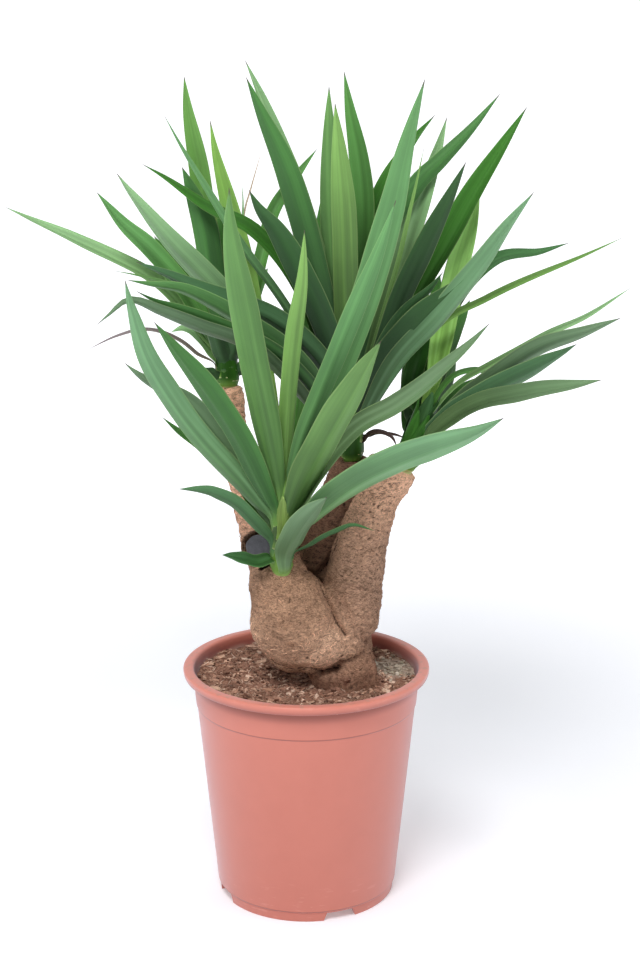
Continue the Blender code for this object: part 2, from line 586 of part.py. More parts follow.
def make_soil(group):
    """A filled body with a bumpy top, and a plain hole for the trunk's root."""
    edge = inner_radius(SOIL_LEVEL) - SOIL_CLEARANCE
    profile = [(edge * share, SOIL_LEVEL) for share in SOIL_RINGS]
    profile += [(inner_radius(SOIL_BOTTOM) - SOIL_CLEARANCE, SOIL_BOTTOM), (0.0, SOIL_BOTTOM)]
    soil = turned("soil", profile, SOIL_SIDES, group)
    for vert in soil.data.vertices:
        if vert.co.z > SOIL_LEVEL - 0.001:
            away = (vert.co.xy - ROOT_CENTRE.xy).length
            bumpy = min(1.0, max(0.0, away / LEVEL_PATCH_RADIUS - 1) * RELIEF_RISE)
            clumps = noise.noise(vert.co * CLUMPS_PER_METRE)
            crumbs = CRUMB_SHARE * noise.noise(vert.co * CRUMBS_PER_METRE)
            vert.co.z += SOIL_RELIEF * (clumps + crumbs) * bumpy
    outward(soil)
    cut(soil, [root_plug("root_hole", ROOT_RADIUS + GAP, ROOT_DEPTH + GAP, group)])
    return soil


def root_plug(name, radius, depth, group):
    bm = bmesh.new()
    height = depth + ROOT_ABOVE_SOIL
    middle = ROOT_CENTRE + Vector((0, 0, SOIL_LEVEL - depth + height / 2))
    bmesh.ops.create_cone(bm, cap_ends=True, segments=24, radius1=radius, radius2=radius, depth=height,
                          matrix=Matrix.Translation(middle))
    return new_object(name, mesh_of(bm, name), group)


def make_limb(name, limb, group):
    """A tube with smooth turns through the limb's knots."""
    path = smooth_path([seen_at(knot.at, knot.depth) for knot in limb], LIMB_STEPS)
    radii = smooth_path([Vector((knot.radius, 0, 0)) for knot in limb], LIMB_STEPS)
    return tube(name, [(place, radius.x) for place, radius in zip(path, radii)], LIMB_SIDES, group)


def make_trunk(group):
    """The limbs, grown into one body, sawn, seated for the heads, cut flat at the soil and rooted in it."""
    trunk = joined("trunk", [make_limb(name, limb, group) for name, limb in TRUNK_LIMBS.items()])
    grown = trunk.modifiers.new("grown", "REMESH")
    grown.mode = "VOXEL"
    grown.voxel_size = TRUNK_VOXEL
    soft = trunk.modifiers.new("soft", "SMOOTH")
    soft.iterations = TRUNK_SMOOTHINGS
    light = trunk.modifiers.new("light", "DECIMATE")
    light.ratio = TRUNK_SHARE_KEPT
    apply_modifiers(trunk)
    cut(trunk, [slab_below(SOIL_LEVEL + GAP, group), *(saw_block(saw, group) for saw in SAWS.values()),
                *(make_stem("seat", head, GAP, group) for head in HEADS.values())])
    return joined("trunk", [trunk, root_plug("root", ROOT_RADIUS, ROOT_DEPTH, group)])


def slab_below(height, group):
    size = 4 * RIM_RADIUS
    bm = bmesh.new()
    bmesh.ops.create_cube(bm, size=size, matrix=Matrix.Translation((0, 0, height - size / 2)))
    return new_object("slab", mesh_of(bm, "slab"), group)


def saw_block(saw, group):
    """The piece that the saw takes off the end of a limb."""
    face = seen_at(saw.at, saw.depth)
    end = face + saw.faces.normalized() * SAWN_OFF_LENGTH
    return tube("sawn_off", [(face, saw.reach), (end, saw.reach)], ROUND_SIDES, group)


def make_wax(name, saw, group):
    """A thin disc of wax on a sawn end, its middle slid along the cut to where it was brushed on."""
    face, normal = seen_at(saw.at, saw.depth), saw.faces.normalized()
    middle = seen_at(saw.wax_at, saw.wax_depth)
    middle += normal * (GAP - (middle - face).dot(normal))
    knots = [(middle, saw.wax_radius), (middle + normal * WAX_THICKNESS, saw.wax_radius * WAX_TOP_SHARE)]
    return tube(name, knots, ROUND_SIDES, group)


def make_stem(name, head, allowance, group):
    """A head's stem, narrow where it sits in the trunk. A seat is the same shape with an allowance."""
    foot, top = head_path(head)
    rise = (top - foot).normalized()
    rings = [(foot - rise * allowance, SEAT_RADIUS), (foot.lerp(top, SEAT_SHARE), SEAT_RADIUS),
             (foot.lerp(top, FULL_SHARE), head.radius), (foot.lerp(top, WAIST_SHARE), head.radius * WAIST),
             (top + rise * allowance, head.top_radius)]
    return tube(name, [(place, radius + allowance) for place, radius in rings], STEM_SIDES, group)


def head_path(head):
    return seen_at(head.foot, head.foot_depth), seen_at(head.top, head.top_depth)


def leaf_path(head, leaf):
    """The midrib in space, from its root on the stem to its tip."""
    foot, top = head_path(head)
    root = foot.lerp(top, STEM_LOW + STEM_SPAN * leaf.at)
    pixels = [*reversed(leaf.via), leaf.tip]
    lengths, previous = [], pixel_of(root)
    for pixel in pixels:
        lengths.append((lengths[-1] if lengths else 0.0) + math.dist(previous, pixel))
        previous = pixel
    points = [root]
    for pixel, length in zip(pixels, lengths):
        share = length / lengths[-1]
        bow = leaf.bow / 1000 * 4 * share * (1 - share)
        points.append(seen_at(pixel, root.y + (leaf.depth - root.y) * share + bow))
    return smooth_path(points)


def make_head(name, head, group):
    pieces = [make_stem(name, head, 0.0, group)]
    for turn_rule, leaves in ((shown_turn, head.leaves), (natural_turn, head.hidden)):
        for leaf_name, leaf in leaves.items():
            pieces.append(blade(leaf_name, leaf_path(head, leaf), leaf.width / 1000, turn_rule, group))
    return joined(name, pieces)


def main():
    for thing in list(bpy.data.objects):
        remove(thing)
    parts = collection("potted_yucca")
    materials = {
        "pot": finish("terracotta_plastic", (0.62, 0.23, 0.17), 0.45),
        "soil": finish("potting_soil", (0.16, 0.10, 0.065), 0.95),
        "trunk": finish("bark", (0.27, 0.17, 0.10), 0.9),
        "wax": finish("black_wax", (0.03, 0.03, 0.035), 0.5),
        "leaf": finish("leaf", (0.09, 0.22, 0.06), 0.4),
    }
    made = {"pot": make_pot(parts), "soil": make_soil(parts), "trunk": make_trunk(parts)}
    for name, saw in SAWS.items():
        made[name] = make_wax(name, saw, parts)
    for name, head in HEADS.items():
        made[name] = make_head(name, head, parts)
    for name, thing in made.items():
        slot = "leaf" if name in HEADS else name.split("_")[0]
        thing.data.materials.clear()
        thing.data.materials.append(materials[slot])
        thing.data.shade_smooth()
        thing.data.set_sharp_from_angle(angle=math.radians(35))
    return made


main()
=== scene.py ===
# %% [markdown]
# # A potted yucca
# The real thing is a rooted piece of yucca trunk, about 35 cm long with its root, whose arms were sawn off
# and sealed with wax. Four heads of sword leaves grew from it, and it stands in a 24 cm nursery pot. The
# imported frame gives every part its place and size. This script replaces each plain part with a finer one of
# the same form, and adds what the frame leaves out: litter on the soil, shreds of bark and the scales of
# old leaves. It loads the frame first and keeps the frame's box, so that the finished plant's box can be
# compared with it.

# %% Load the frame
import math
import random
from collections import namedtuple

import bmesh
import bpy
from mathutils import Matrix, Vector, kdtree, noise


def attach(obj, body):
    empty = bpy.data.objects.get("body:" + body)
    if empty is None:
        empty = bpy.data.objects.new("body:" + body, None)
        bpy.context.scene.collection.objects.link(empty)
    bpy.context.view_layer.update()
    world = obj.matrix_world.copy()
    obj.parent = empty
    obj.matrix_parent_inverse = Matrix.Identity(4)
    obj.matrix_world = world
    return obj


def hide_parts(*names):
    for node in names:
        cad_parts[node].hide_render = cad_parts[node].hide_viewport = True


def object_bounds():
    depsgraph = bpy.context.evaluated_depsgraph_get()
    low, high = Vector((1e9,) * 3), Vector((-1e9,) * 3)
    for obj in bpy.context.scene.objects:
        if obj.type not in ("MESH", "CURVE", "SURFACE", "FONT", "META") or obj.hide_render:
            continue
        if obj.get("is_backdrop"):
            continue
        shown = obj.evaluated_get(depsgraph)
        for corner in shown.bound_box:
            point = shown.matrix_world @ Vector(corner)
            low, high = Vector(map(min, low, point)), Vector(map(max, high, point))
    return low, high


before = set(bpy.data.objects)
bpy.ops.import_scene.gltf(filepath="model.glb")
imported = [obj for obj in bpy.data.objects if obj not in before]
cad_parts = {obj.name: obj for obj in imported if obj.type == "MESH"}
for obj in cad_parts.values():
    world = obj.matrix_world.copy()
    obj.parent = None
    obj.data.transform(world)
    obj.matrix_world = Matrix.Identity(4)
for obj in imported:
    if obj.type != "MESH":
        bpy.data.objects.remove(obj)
frame_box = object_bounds()
print("Nodes:", ", ".join(sorted(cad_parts)))

# %% [markdown]
# ## The viewer
# Every leaf is placed by where the photograph shows it, so the camera comes first. It stood 1.7 m from the
# pot's axis and 0.85 m up, and looked 14.3 degrees down with a short telephoto lens. A pixel alone is only
# a ray, and a pixel with a depth is a point in space. The camera could be set by eye with its location and
# rotation, but three named vectors serve both the camera and the function that turns pixels into points.

# %% Camera
EYE = Vector((0.0, -1.70, 0.85))
EYE_PITCH = math.radians(14.3)
EYE_YAW = math.radians(0.45)
FOCAL_PX = 1842.0
FRAME_PX = (640, 961)
FRAME_MIDDLE_PX = (320.0, 480.5)
SENSOR_MM = 36.0
NEAREST_SEEN = 0.01

FORWARD = Vector((math.sin(EYE_YAW), math.cos(EYE_YAW), -math.tan(EYE_PITCH))).normalized()
RIGHT = Vector((math.cos(EYE_YAW), -math.sin(EYE_YAW), 0.0))
UP = RIGHT.cross(FORWARD)


def seen_at(pixel, depth):
    """The point on the plane y = depth that the photograph shows at this pixel."""
    aside = (pixel[0] - FRAME_MIDDLE_PX[0]) / FOCAL_PX
    above = (FRAME_MIDDLE_PX[1] - pixel[1]) / FOCAL_PX
    ray = FORWARD + RIGHT * aside + UP * above
    return EYE + ray * ((depth - EYE.y) / ray.y)


def pixel_of(point):
    """Where the photograph shows a point."""
    ray = point - EYE
    far = ray.dot(FORWARD)
    across, high = ray.dot(RIGHT) / far, ray.dot(UP) / far
    return FRAME_MIDDLE_PX[0] + FOCAL_PX * across, FRAME_MIDDLE_PX[1] - FOCAL_PX * high


def linked(name, data):
    """A new object that holds this data, linked to the scene."""
    made = bpy.data.objects.new(name, data)
    bpy.context.scene.collection.objects.link(made)
    return made


camera = bpy.data.cameras.new("viewer")
camera.sensor_width = SENSOR_MM
camera.lens = SENSOR_MM * FOCAL_PX / max(FRAME_PX)
camera.clip_start = NEAREST_SEEN
viewer = linked("viewer", camera)
viewer.matrix_world = Matrix.Translation(EYE) @ Matrix((RIGHT, UP, -FORWARD)).transposed().to_4x4()
bpy.context.scene.camera = viewer
print("Lens", round(camera.lens, 1), "mm; the floor under the pot's axis is seen at",
      [round(c) for c in pixel_of(Vector((0, 0, 0)))])

# %% [markdown]
# ## Materials from nodes
# Each finish below is a Principled shader fed by procedural textures. Written out in full, a node tree
# takes many lines that all look alike, so these helpers place a node, fill or link its inputs and hand back
# the socket that is wanted next. Colours are written as they look on screen, 0 to 255, and turned into the
# linear values that shaders use.

# %% Node helpers
def colour(red, green, blue):
    """A linear colour with alpha from the values that a screen shows."""
    def linear(value):
        share = value / 255
        return share / 12.92 if share <= 0.04045 else ((share + 0.055) / 1.055) ** 2.4
    return linear(red), linear(green), linear(blue), 1.0


def fill(tree, socket, value):
    """Links a socket to the output given, or sets it to the plain value given."""
    if isinstance(value, bpy.types.NodeSocket):
        tree.links.new(value, socket)
    else:
        socket.default_value = value


def add_node(tree, kind, inputs=None, **settings):
    """A shader node with its settings made and its inputs filled or linked."""
    made = tree.nodes.new("ShaderNode" + kind)
    for name, value in settings.items():
        setattr(made, name, value)
    for key, value in (inputs or {}).items():
        fill(tree, made.inputs[key], value)
    return made


def new_material(name):
    """A material, its node tree and its Principled shader."""
    made = bpy.data.materials.new(name)
    made.use_nodes = True
    return made, made.node_tree, made.node_tree.nodes["Principled BSDF"]


def dress(tree, shader, **values):
    """Links or sets the shader's own sockets, whose names are given with underscores for spaces."""
    for name, value in values.items():
        fill(tree, shader.inputs[name.replace("_", " ")], value)


print("A middle grey is", round(colour(128, 128, 128)[0], 3), "to a shader")

# %% [markdown]
# Most of a finish is sums on a few maps: where on the object, how high, which way it faces, and noise. A
# mask is a smooth step on one of them, and a blend lays a colour over another where the mask is white.

# %% Maps and masks
def maths(tree, operation, one, other=0.0):
    return add_node(tree, "Math", {0: one, 1: other}, operation=operation).outputs[0]


def times(tree, one, other):
    return maths(tree, "MULTIPLY", one, other)


def blend(tree, factor, one, other, way="MIX"):
    """One colour laid over another."""
    inputs = {0: factor, 6: one, 7: other}
    return add_node(tree, "Mix", inputs, data_type="RGBA", blend_type=way).outputs[2]


def fade(tree, value, start, end, low=0.0, high=1.0):
    """A smooth step from low to high as the value goes from start to end."""
    inputs = {"Value": value, "From Min": start, "From Max": end, "To Min": low, "To Max": high}
    return add_node(tree, "MapRange", inputs, interpolation_type="SMOOTHSTEP").outputs[0]


def cloud(tree, vector, scale, detail=2.0, bend=0.0):
    """A noise texture's value, 0 to 1 and mostly near 0.5. A bend makes it swirl."""
    inputs = {"Vector": vector, "Scale": scale, "Detail": detail, "Distortion": bend}
    return add_node(tree, "TexNoise", inputs).outputs[0]


def object_spot(tree):
    return add_node(tree, "TexCoord").outputs["Object"]


def mark(tree, name, output="Color"):
    """An attribute that the mesh keeps on its vertices."""
    return add_node(tree, "Attribute", attribute_name=name).outputs[output]


def axes(tree, vector):
    """A vector's X, Y and Z."""
    return add_node(tree, "SeparateXYZ", {0: vector}).outputs


def joined(tree, x, y, z):
    return add_node(tree, "CombineXYZ", {"X": x, "Y": y, "Z": z}).outputs[0]


def flattened(tree, vector, squeeze):
    """The same coordinates, squeezed upright, so that a pattern on them lies flat."""
    return add_node(tree, "Mapping", {"Vector": vector, "Scale": (1.0, 1.0, squeeze)}).outputs[0]


def bump(tree, strength, distance, height):
    inputs = {"Strength": strength, "Distance": distance, "Height": height}
    return add_node(tree, "Bump", inputs).outputs[0]


print("Materials before the first finish:", len(bpy.data.materials))

# %% [markdown]
# Two effects come back in several finishes: colour that wanders between two tones, and thin matted fibres.
# Each is a node group with named inputs, built once and placed in each material with its own values.
# Copying the nodes would work as well, but a group keeps one effect in one place.

# %% Groups for mottled colour and matted fibres
FINE_DETAIL = 4.0
FIBRE_BEND = 1.3


def new_group(name, inputs, outputs):
    """A node group, the sockets that it is given and the sockets that it puts out."""
    tree = bpy.data.node_groups.new(name, "ShaderNodeTree")
    for way, sockets in (("INPUT", inputs), ("OUTPUT", outputs)):
        for socket, kind in sockets.items():
            tree.interface.new_socket(socket, in_out=way, socket_type="NodeSocket" + kind)
    return tree, tree.nodes.new("NodeGroupInput").outputs, tree.nodes.new("NodeGroupOutput").inputs


def make_mottle_group():
    """Colour that wanders between two tones on a coarse and a fine scale, and the value that mixed them."""
    inputs = {"Vector": "Vector", "Coarse Scale": "Float", "Fine Scale": "Float", "Fine Share": "Float",
              "Contrast": "Float", "Low": "Color", "High": "Color"}
    tree, given, put_out = new_group("mottle", inputs, {"Color": "Color", "Value": "Float"})
    coarse = cloud(tree, given["Vector"], given["Coarse Scale"])
    fine = cloud(tree, given["Vector"], given["Fine Scale"], FINE_DETAIL)
    both = add_node(tree, "Mix", {0: given["Fine Share"], 2: coarse, 3: fine}, data_type="FLOAT").outputs[0]
    spread = times(tree, maths(tree, "SUBTRACT", both, 0.5), given["Contrast"])
    value = add_node(tree, "Math", {0: spread, 1: 0.5}, operation="ADD", use_clamp=True).outputs[0]
    fill(tree, put_out["Color"], blend(tree, value, given["Low"], given["High"]))
    fill(tree, put_out["Value"], value)
    return tree


def make_fibre_group():
    """Thin lines that wander and cross: the places where a bent noise passes its middle value."""
    inputs = {"Vector": "Vector", "Scale": "Float", "Width": "Float"}
    tree, given, put_out = new_group("fibres", inputs, {"Value": "Float"})
    bent = cloud(tree, given["Vector"], given["Scale"], 1.0, FIBRE_BEND)
    off_middle = maths(tree, "ABSOLUTE", maths(tree, "SUBTRACT", bent, 0.5))
    fill(tree, put_out["Value"], fade(tree, off_middle, given["Width"], 0.0))
    return tree


MOTTLE = make_mottle_group()
FIBRES = make_fibre_group()


def mottle(tree, vector, coarse, fine, low, high, fine_share=0.4, contrast=2.4):
    """Places the group and returns its outputs, Color and Value."""
    values = {"Vector": vector, "Coarse Scale": coarse, "Fine Scale": fine, "Fine Share": fine_share,
              "Contrast": contrast, "Low": low, "High": high}
    return add_node(tree, "Group", values, node_tree=MOTTLE).outputs


def fibres(tree, vector, scale, width):
    """Places the group and returns its output, Value."""
    values = {"Vector": vector, "Scale": scale, "Width": width}
    return add_node(tree, "Group", values, node_tree=FIBRES).outputs["Value"]


print("Groups:", [group.name for group in bpy.data.node_groups])

# %% [markdown]
# ## Floor and light
# The plant stood on a white sweep under large soft boxes, so the floor all but vanishes: it is paper white
# with a faint cool shadow. One way is a very bright lamp, which would bleach the plant too. Here the floor
# gives off part of its light itself, like a light table: little near the pot, so that the shadow stays, and
# all of it farther off.

# %% Floor
FLOOR_HALF = 60.0
FLOOR_NEAR = 0.5
FLOOR_FAR = 2.2
FLOOR_GLOW = 0.26
FLOOR_LIGHT = (0.965, 0.975, 1.0, 1.0)
PAPER_TONES = colour(229, 231, 237), colour(234, 235, 240)


def mesh_of(bm, name):
    """A mesh from a bmesh, which is freed."""
    mesh = bpy.data.meshes.new(name)
    bm.to_mesh(mesh)
    bm.free()
    return mesh


def make_floor():
    bm = bmesh.new()
    bmesh.ops.create_grid(bm, x_segments=1, y_segments=1, size=FLOOR_HALF)
    floor = linked("floor", mesh_of(bm, "floor"))
    material, tree, shader = new_material("white_sweep")
    spot = object_spot(tree)
    paper = mottle(tree, spot, 1.4, 9.0, *PAPER_TONES)
    away = add_node(tree, "VectorMath", {0: spot}, operation="LENGTH").outputs["Value"]
    glow = fade(tree, away, FLOOR_NEAR, FLOOR_FAR, FLOOR_GLOW, 1.0)
    dress(tree, shader, Base_Color=paper["Color"], Roughness=0.9, Specular_IOR_Level=0.1,
          Emission_Color=FLOOR_LIGHT, Emission_Strength=glow)
    floor.data.materials.append(material)
    return floor


make_floor()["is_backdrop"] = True
print("Floor:", 2 * FLOOR_HALF, "m wide")

# %% [markdown]
# A large box above the viewer is the key light, with weaker boxes overhead and on both sides. The
# surroundings are dim in front and bright behind the plant, which gives the pot and the leaves their pale
# edges. What the camera sees behind the floor is plain white.

# %% Lamps and surroundings
SURROUND = (0.97, 0.985, 1.0, 1.0)
SURROUND_FRONT, SURROUND_BACK, SURROUND_SEEN = 0.14, 0.75, 1.1
BACK_STARTS, BACK_FULL = -0.1, 0.5
Lamp = namedtuple("Lamp", "place aim wide high power")
LAMPS = {
    "key_box": Lamp((-0.35, -1.45, 2.25), (0.0, 0.0, 0.35), 0.85, 0.75, 43.0),
    "top_box": Lamp((-0.10, 0.05, 2.4), (0.0, 0.0, 0.45), 1.2, 1.0, 8.0),
    "left_box": Lamp((-1.9, -0.9, 1.3), (0.0, 0.0, 0.4), 1.2, 1.5, 9.0),
    "right_box": Lamp((2.0, -0.7, 1.2), (0.0, 0.0, 0.4), 1.2, 1.5, 11.0),
}


def make_lamp(name, lamp):
    light = bpy.data.lights.new(name, "AREA")
    light.shape = "RECTANGLE"
    light.size = lamp.wide
    light.size_y = lamp.high
    light.energy = lamp.power
    made = linked(name, light)
    made.location = lamp.place
    made.rotation_euler = (Vector(lamp.aim) - Vector(lamp.place)).to_track_quat("-Z", "Y").to_euler()


def make_surround():
    world = bpy.data.worlds.new("surround")
    world.use_nodes = True
    sky = world.node_tree
    backwards = axes(sky, add_node(sky, "TexCoord").outputs["Generated"])["Y"]
    around = fade(sky, backwards, BACK_STARTS, BACK_FULL, SURROUND_FRONT, SURROUND_BACK)
    seen = times(sky, add_node(sky, "LightPath").outputs["Is Camera Ray"], SURROUND_SEEN)
    dress(sky, sky.nodes["Background"], Color=SURROUND, Strength=maths(sky, "MAXIMUM", around, seen))
    return world


for name, lamp in LAMPS.items():
    make_lamp(name, lamp)
bpy.context.scene.world = make_surround()
bpy.context.scene.view_settings.view_transform = "Standard"
print("Lamps:", ", ".join(LAMPS))

# %% [markdown]
# ## The pot
# A nursery pot is moulded in one shot from terracotta coloured plastic: a rolled bead round the mouth, a
# band with a shallow step below it, a tapered wall and a foot ring. All of them turn on one profile of
# named radii and heights, which goes from the middle of the floor out, up the wall, over the bead and back
# down the inside.

# %% Pot, profile
POT_HEIGHT = 0.2325
RIM_RADIUS = 0.120
RIM_MOUTH_RADIUS = 0.1095
RIM_BEAD_HEIGHT = 0.0085
WALL_TOP_RADIUS = 0.1105
STEP_HEIGHT = 0.1952
STEP_RADIUS = 0.1078
WALL_FOOT_RADIUS = 0.0885
WALL = 0.0022
FOOT_RADIUS = 0.0862
FOOT_HEIGHT = 0.0098
FOOT_RING_WIDTH = 0.0055
INNER_FLOOR_CORNER = 0.006

Corner = namedtuple("Corner", "radius height round", defaults=(0.0,))
BEAD_BOTTOM = POT_HEIGHT - RIM_BEAD_HEIGHT
INNER_FOOT = WALL_FOOT_RADIUS - WALL
POT_CORNERS = [
    Corner(0.0, FOOT_HEIGHT),
    Corner(FOOT_RADIUS - FOOT_RING_WIDTH, FOOT_HEIGHT, 0.0010),
    Corner(FOOT_RADIUS - FOOT_RING_WIDTH + 0.0008, 0.0, 0.0007),
    Corner(FOOT_RADIUS, 0.0, 0.0010),
    Corner(FOOT_RADIUS + 0.0007, FOOT_HEIGHT - 0.0002, 0.0008),
    Corner(WALL_FOOT_RADIUS, FOOT_HEIGHT + 0.0008, 0.0012),
    Corner(STEP_RADIUS - 0.0010, STEP_HEIGHT - 0.0010, 0.0006),
    Corner(STEP_RADIUS, STEP_HEIGHT, 0.0008),
    Corner(WALL_TOP_RADIUS, BEAD_BOTTOM - 0.0004, 0.0012),
    Corner(RIM_RADIUS - 0.0016, BEAD_BOTTOM, 0.0012),
    Corner(RIM_RADIUS, BEAD_BOTTOM + 0.0034, 0.0026),
    Corner(RIM_RADIUS, POT_HEIGHT, 0.0036),
    Corner(RIM_MOUTH_RADIUS, POT_HEIGHT, 0.0034),
    Corner(RIM_MOUTH_RADIUS, BEAD_BOTTOM - 0.0010, 0.0020),
    Corner(WALL_TOP_RADIUS - WALL, BEAD_BOTTOM - 0.0060, 0.0020),
    Corner(STEP_RADIUS - WALL, STEP_HEIGHT, 0.0010),
    Corner(INNER_FOOT, FOOT_HEIGHT + INNER_FLOOR_CORNER, 0.0030),
    Corner(INNER_FOOT - 0.003, FOOT_HEIGHT + WALL, 0.0010),
    Corner(0.0, FOOT_HEIGHT + WALL),
]
print("Corners of the pot's profile:", len(POT_CORNERS))

# %% [markdown]
# A lathe shape like this could be a Screw modifier. Spinning the profile in bmesh gives the same wall and
# leaves a plain mesh to cut. Every corner of the profile is rounded first, because it is the small round on
# an edge that catches the light.

# %% Pot, spun from its profile
POT_STEPS = 144
MOST_ROUND = 0.48  # the most of a side that the round on one of its corners takes
MERGE_DISTANCE = 0.00001


def rounded(corners, steps=5):
    """The profile's points, with each corner that has a round drawn as a short curve from side to side."""
    points = []
    for index, corner in enumerate(corners):
        here = Vector((corner.radius, corner.height))
        if corner.round == 0.0:
            points.append(here)
            continue
        before = Vector(corners[index - 1][:2]) - here
        after = Vector(corners[index + 1][:2]) - here
        start = here + before.normalized() * min(corner.round, before.length * MOST_ROUND)
        end = here + after.normalized() * min(corner.round, after.length * MOST_ROUND)
        for step in range(steps + 1):
            share = step / steps
            points.append(start.lerp(here, share).lerp(here.lerp(end, share), share))
    return points


def spun(points, steps):
    """A closed body from a profile that starts and ends on the Z axis."""
    bm = bmesh.new()
    verts = [bm.verts.new((radius, 0.0, height)) for radius, height in points]
    edges = [bm.edges.new(pair) for pair in zip(verts, verts[1:])]
    bmesh.ops.spin(bm, geom=verts + edges, cent=(0, 0, 0), axis=(0, 0, 1), angle=math.tau, steps=steps,
                   use_merge=True)
    bmesh.ops.remove_doubles(bm, verts=bm.verts, dist=MERGE_DISTANCE)
    bmesh.ops.recalc_face_normals(bm, faces=bm.faces)
    return bm


def piece_from(bm, name):
    """A finished piece from a bmesh: linked, smooth, and riding on the one body of the frame."""
    made = linked(name, mesh_of(bm, name))
    made.data.shade_smooth()
    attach(made, "root")
    return made


pot = piece_from(spun(rounded(POT_CORNERS), POT_STEPS), "nursery_pot")
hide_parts("pot")
print("Pot:", len(pot.data.polygons), "faces before it is cut")

# %% [markdown]
# The foot ring is open at four notches, wider at the floor than at the top, so that water can run off. Each
# is one tapered block, taken away with a Boolean modifier that is applied at once. Between them four holes
# go through the floor.

# %% Pot, drain notches and holes
NOTCH_AZIMUTHS = (-68, 22, 112, 202)
NOTCH_FLOOR_WIDTH = 0.036
NOTCH_TOP_WIDTH = 0.027
NOTCH_DEPTH = 0.024
NOTCH_INSET = 0.002
NOTCH_HEADROOM = 0.0012
NOTCH_BELOW_FLOOR = 0.004
DRAIN_HOLE_RADIUS = 0.006
DRAIN_HOLE_CIRCLE = 0.052
DRAIN_HOLE_SIDES = 24
HOLE_FROM_NOTCH = 45
POT_SHARP_ANGLE = math.radians(38)


def from_front(azimuth):
    """The unit vector this many degrees round from the front, to the viewer's right."""
    angle = math.radians(azimuth)
    return Vector((math.sin(angle), -math.cos(angle), 0.0))


def add_notch(bm, azimuth):
    block = bmesh.ops.create_cube(bm, size=1.0)["verts"]
    turn = Matrix.Rotation(math.radians(azimuth), 3, "Z")
    for vert in block:
        is_top = vert.co.z > 0
        width = NOTCH_TOP_WIDTH if is_top else NOTCH_FLOOR_WIDTH
        height = FOOT_HEIGHT - NOTCH_HEADROOM if is_top else -NOTCH_BELOW_FLOOR
        flat = Vector((vert.co.x * width, vert.co.y * NOTCH_DEPTH, height))
        vert.co = turn @ flat + from_front(azimuth) * (FOOT_RADIUS - NOTCH_INSET)


def add_drain_hole(bm, azimuth):
    middle = from_front(azimuth) * DRAIN_HOLE_CIRCLE + Vector((0, 0, FOOT_HEIGHT))
    bmesh.ops.create_cone(bm, cap_ends=True, segments=DRAIN_HOLE_SIDES, radius1=DRAIN_HOLE_RADIUS,
                          radius2=DRAIN_HOLE_RADIUS, depth=4 * WALL, matrix=Matrix.Translation(middle))


def applied(piece):
    """The piece's mesh with its modifiers carried out."""
    bpy.context.view_layer.update()
    return bpy.data.meshes.new_from_object(piece.evaluated_get(bpy.context.evaluated_depsgraph_get()))


def take_away(piece, cutter_bm):
    """Cuts the cutter's shape out of the piece, applies the cut and drops the cutter."""
    cutter = linked("cutter", mesh_of(cutter_bm, "cutter"))
    boolean = piece.modifiers.new("cut", "BOOLEAN")
    boolean.operation = "DIFFERENCE"
    boolean.solver = "EXACT"
    boolean.object = cutter
    result = applied(piece)
    piece.modifiers.clear()
    piece.data = result
    bpy.data.objects.remove(cutter)


drains = bmesh.new()
for azimuth in NOTCH_AZIMUTHS:
    add_notch(drains, azimuth)
    add_drain_hole(drains, azimuth + HOLE_FROM_NOTCH)
take_away(pot, drains)
pot.data.shade_smooth()
pot.data.set_sharp_from_angle(angle=POT_SHARP_ANGLE)
print("Pot:", len(pot.data.polygons), "faces after it is cut")

# %% [markdown]
# The plastic is a warm pinkish terracotta with a satin skin that looks pale and cool at a glance, which is
# a sheen over the plain shader. Up close it isn't one colour: the pigment swirls a little as it is moulded,
# shade is painted dark into the creases at the foot and the step and into a wide band under the bead, where
# its overhang shades the wall, handling leaves dull scuffs on the bead and low on the wall, dust settles on
# upward edges, and the inside above the soil is soiled. Two noises mix the pigment, and masks from height,
# facing and noise lay the rest over it.

# %% Pot, finish
PIGMENT_TONES = colour(198, 115, 98), colour(207, 123, 106)
RIM_TONE = colour(212, 128, 110)
# The colour of the shade painted into the pot's creases.
CREASE_PAINTED_SHADE_TONE = colour(136, 66, 54)
SCUFF_TONE = colour(228, 165, 150)
DUST_TONE = colour(170, 130, 110)
SOILED_TONE = colour(172, 140, 126)
SHEEN_TONE = colour(226, 236, 255)
# Painted shade: narrow dark bands at the step and the foot, and a wide one under the bead.
POT_CREASE_PAINTED_SHADES = ((STEP_HEIGHT, 0.0011), (FOOT_HEIGHT + 0.001, 0.0010), (BEAD_BOTTOM - 0.003, 0.0110))


def paint_crease_shade(tree, height, base):
    """The base colour, with shade painted dark within each crease's reach of its height."""
    for crease, reach in POT_CREASE_PAINTED_SHADES:
        off_crease = maths(tree, "ABSOLUTE", maths(tree, "SUBTRACT", height, crease))
        base = blend(tree, fade(tree, off_crease, reach, 0.0, 0.0, 0.78), base, CREASE_PAINTED_SHADE_TONE)
    return base


def soiled_mask(tree, spot, height):
    """Patches on the wall above the soil, where it faces the pot's axis."""
    patches = times(tree, fade(tree, height, BEAD_BOTTOM + 0.001, BEAD_BOTTOM - 0.006),
                    fade(tree, cloud(tree, spot, 45.0, 5.0), 0.40, 0.62))
    outwards = add_node(tree, "VectorMath", {0: spot, 1: (1.0, 1.0, 0.0)}, operation="MULTIPLY").outputs[0]
    normal = add_node(tree, "NewGeometry").outputs["Normal"]
    facing = add_node(tree, "VectorMath", {0: outwards, 1: normal}, operation="DOT_PRODUCT").outputs["Value"]
    return times(tree, patches, fade(tree, facing, -0.02, -0.07))


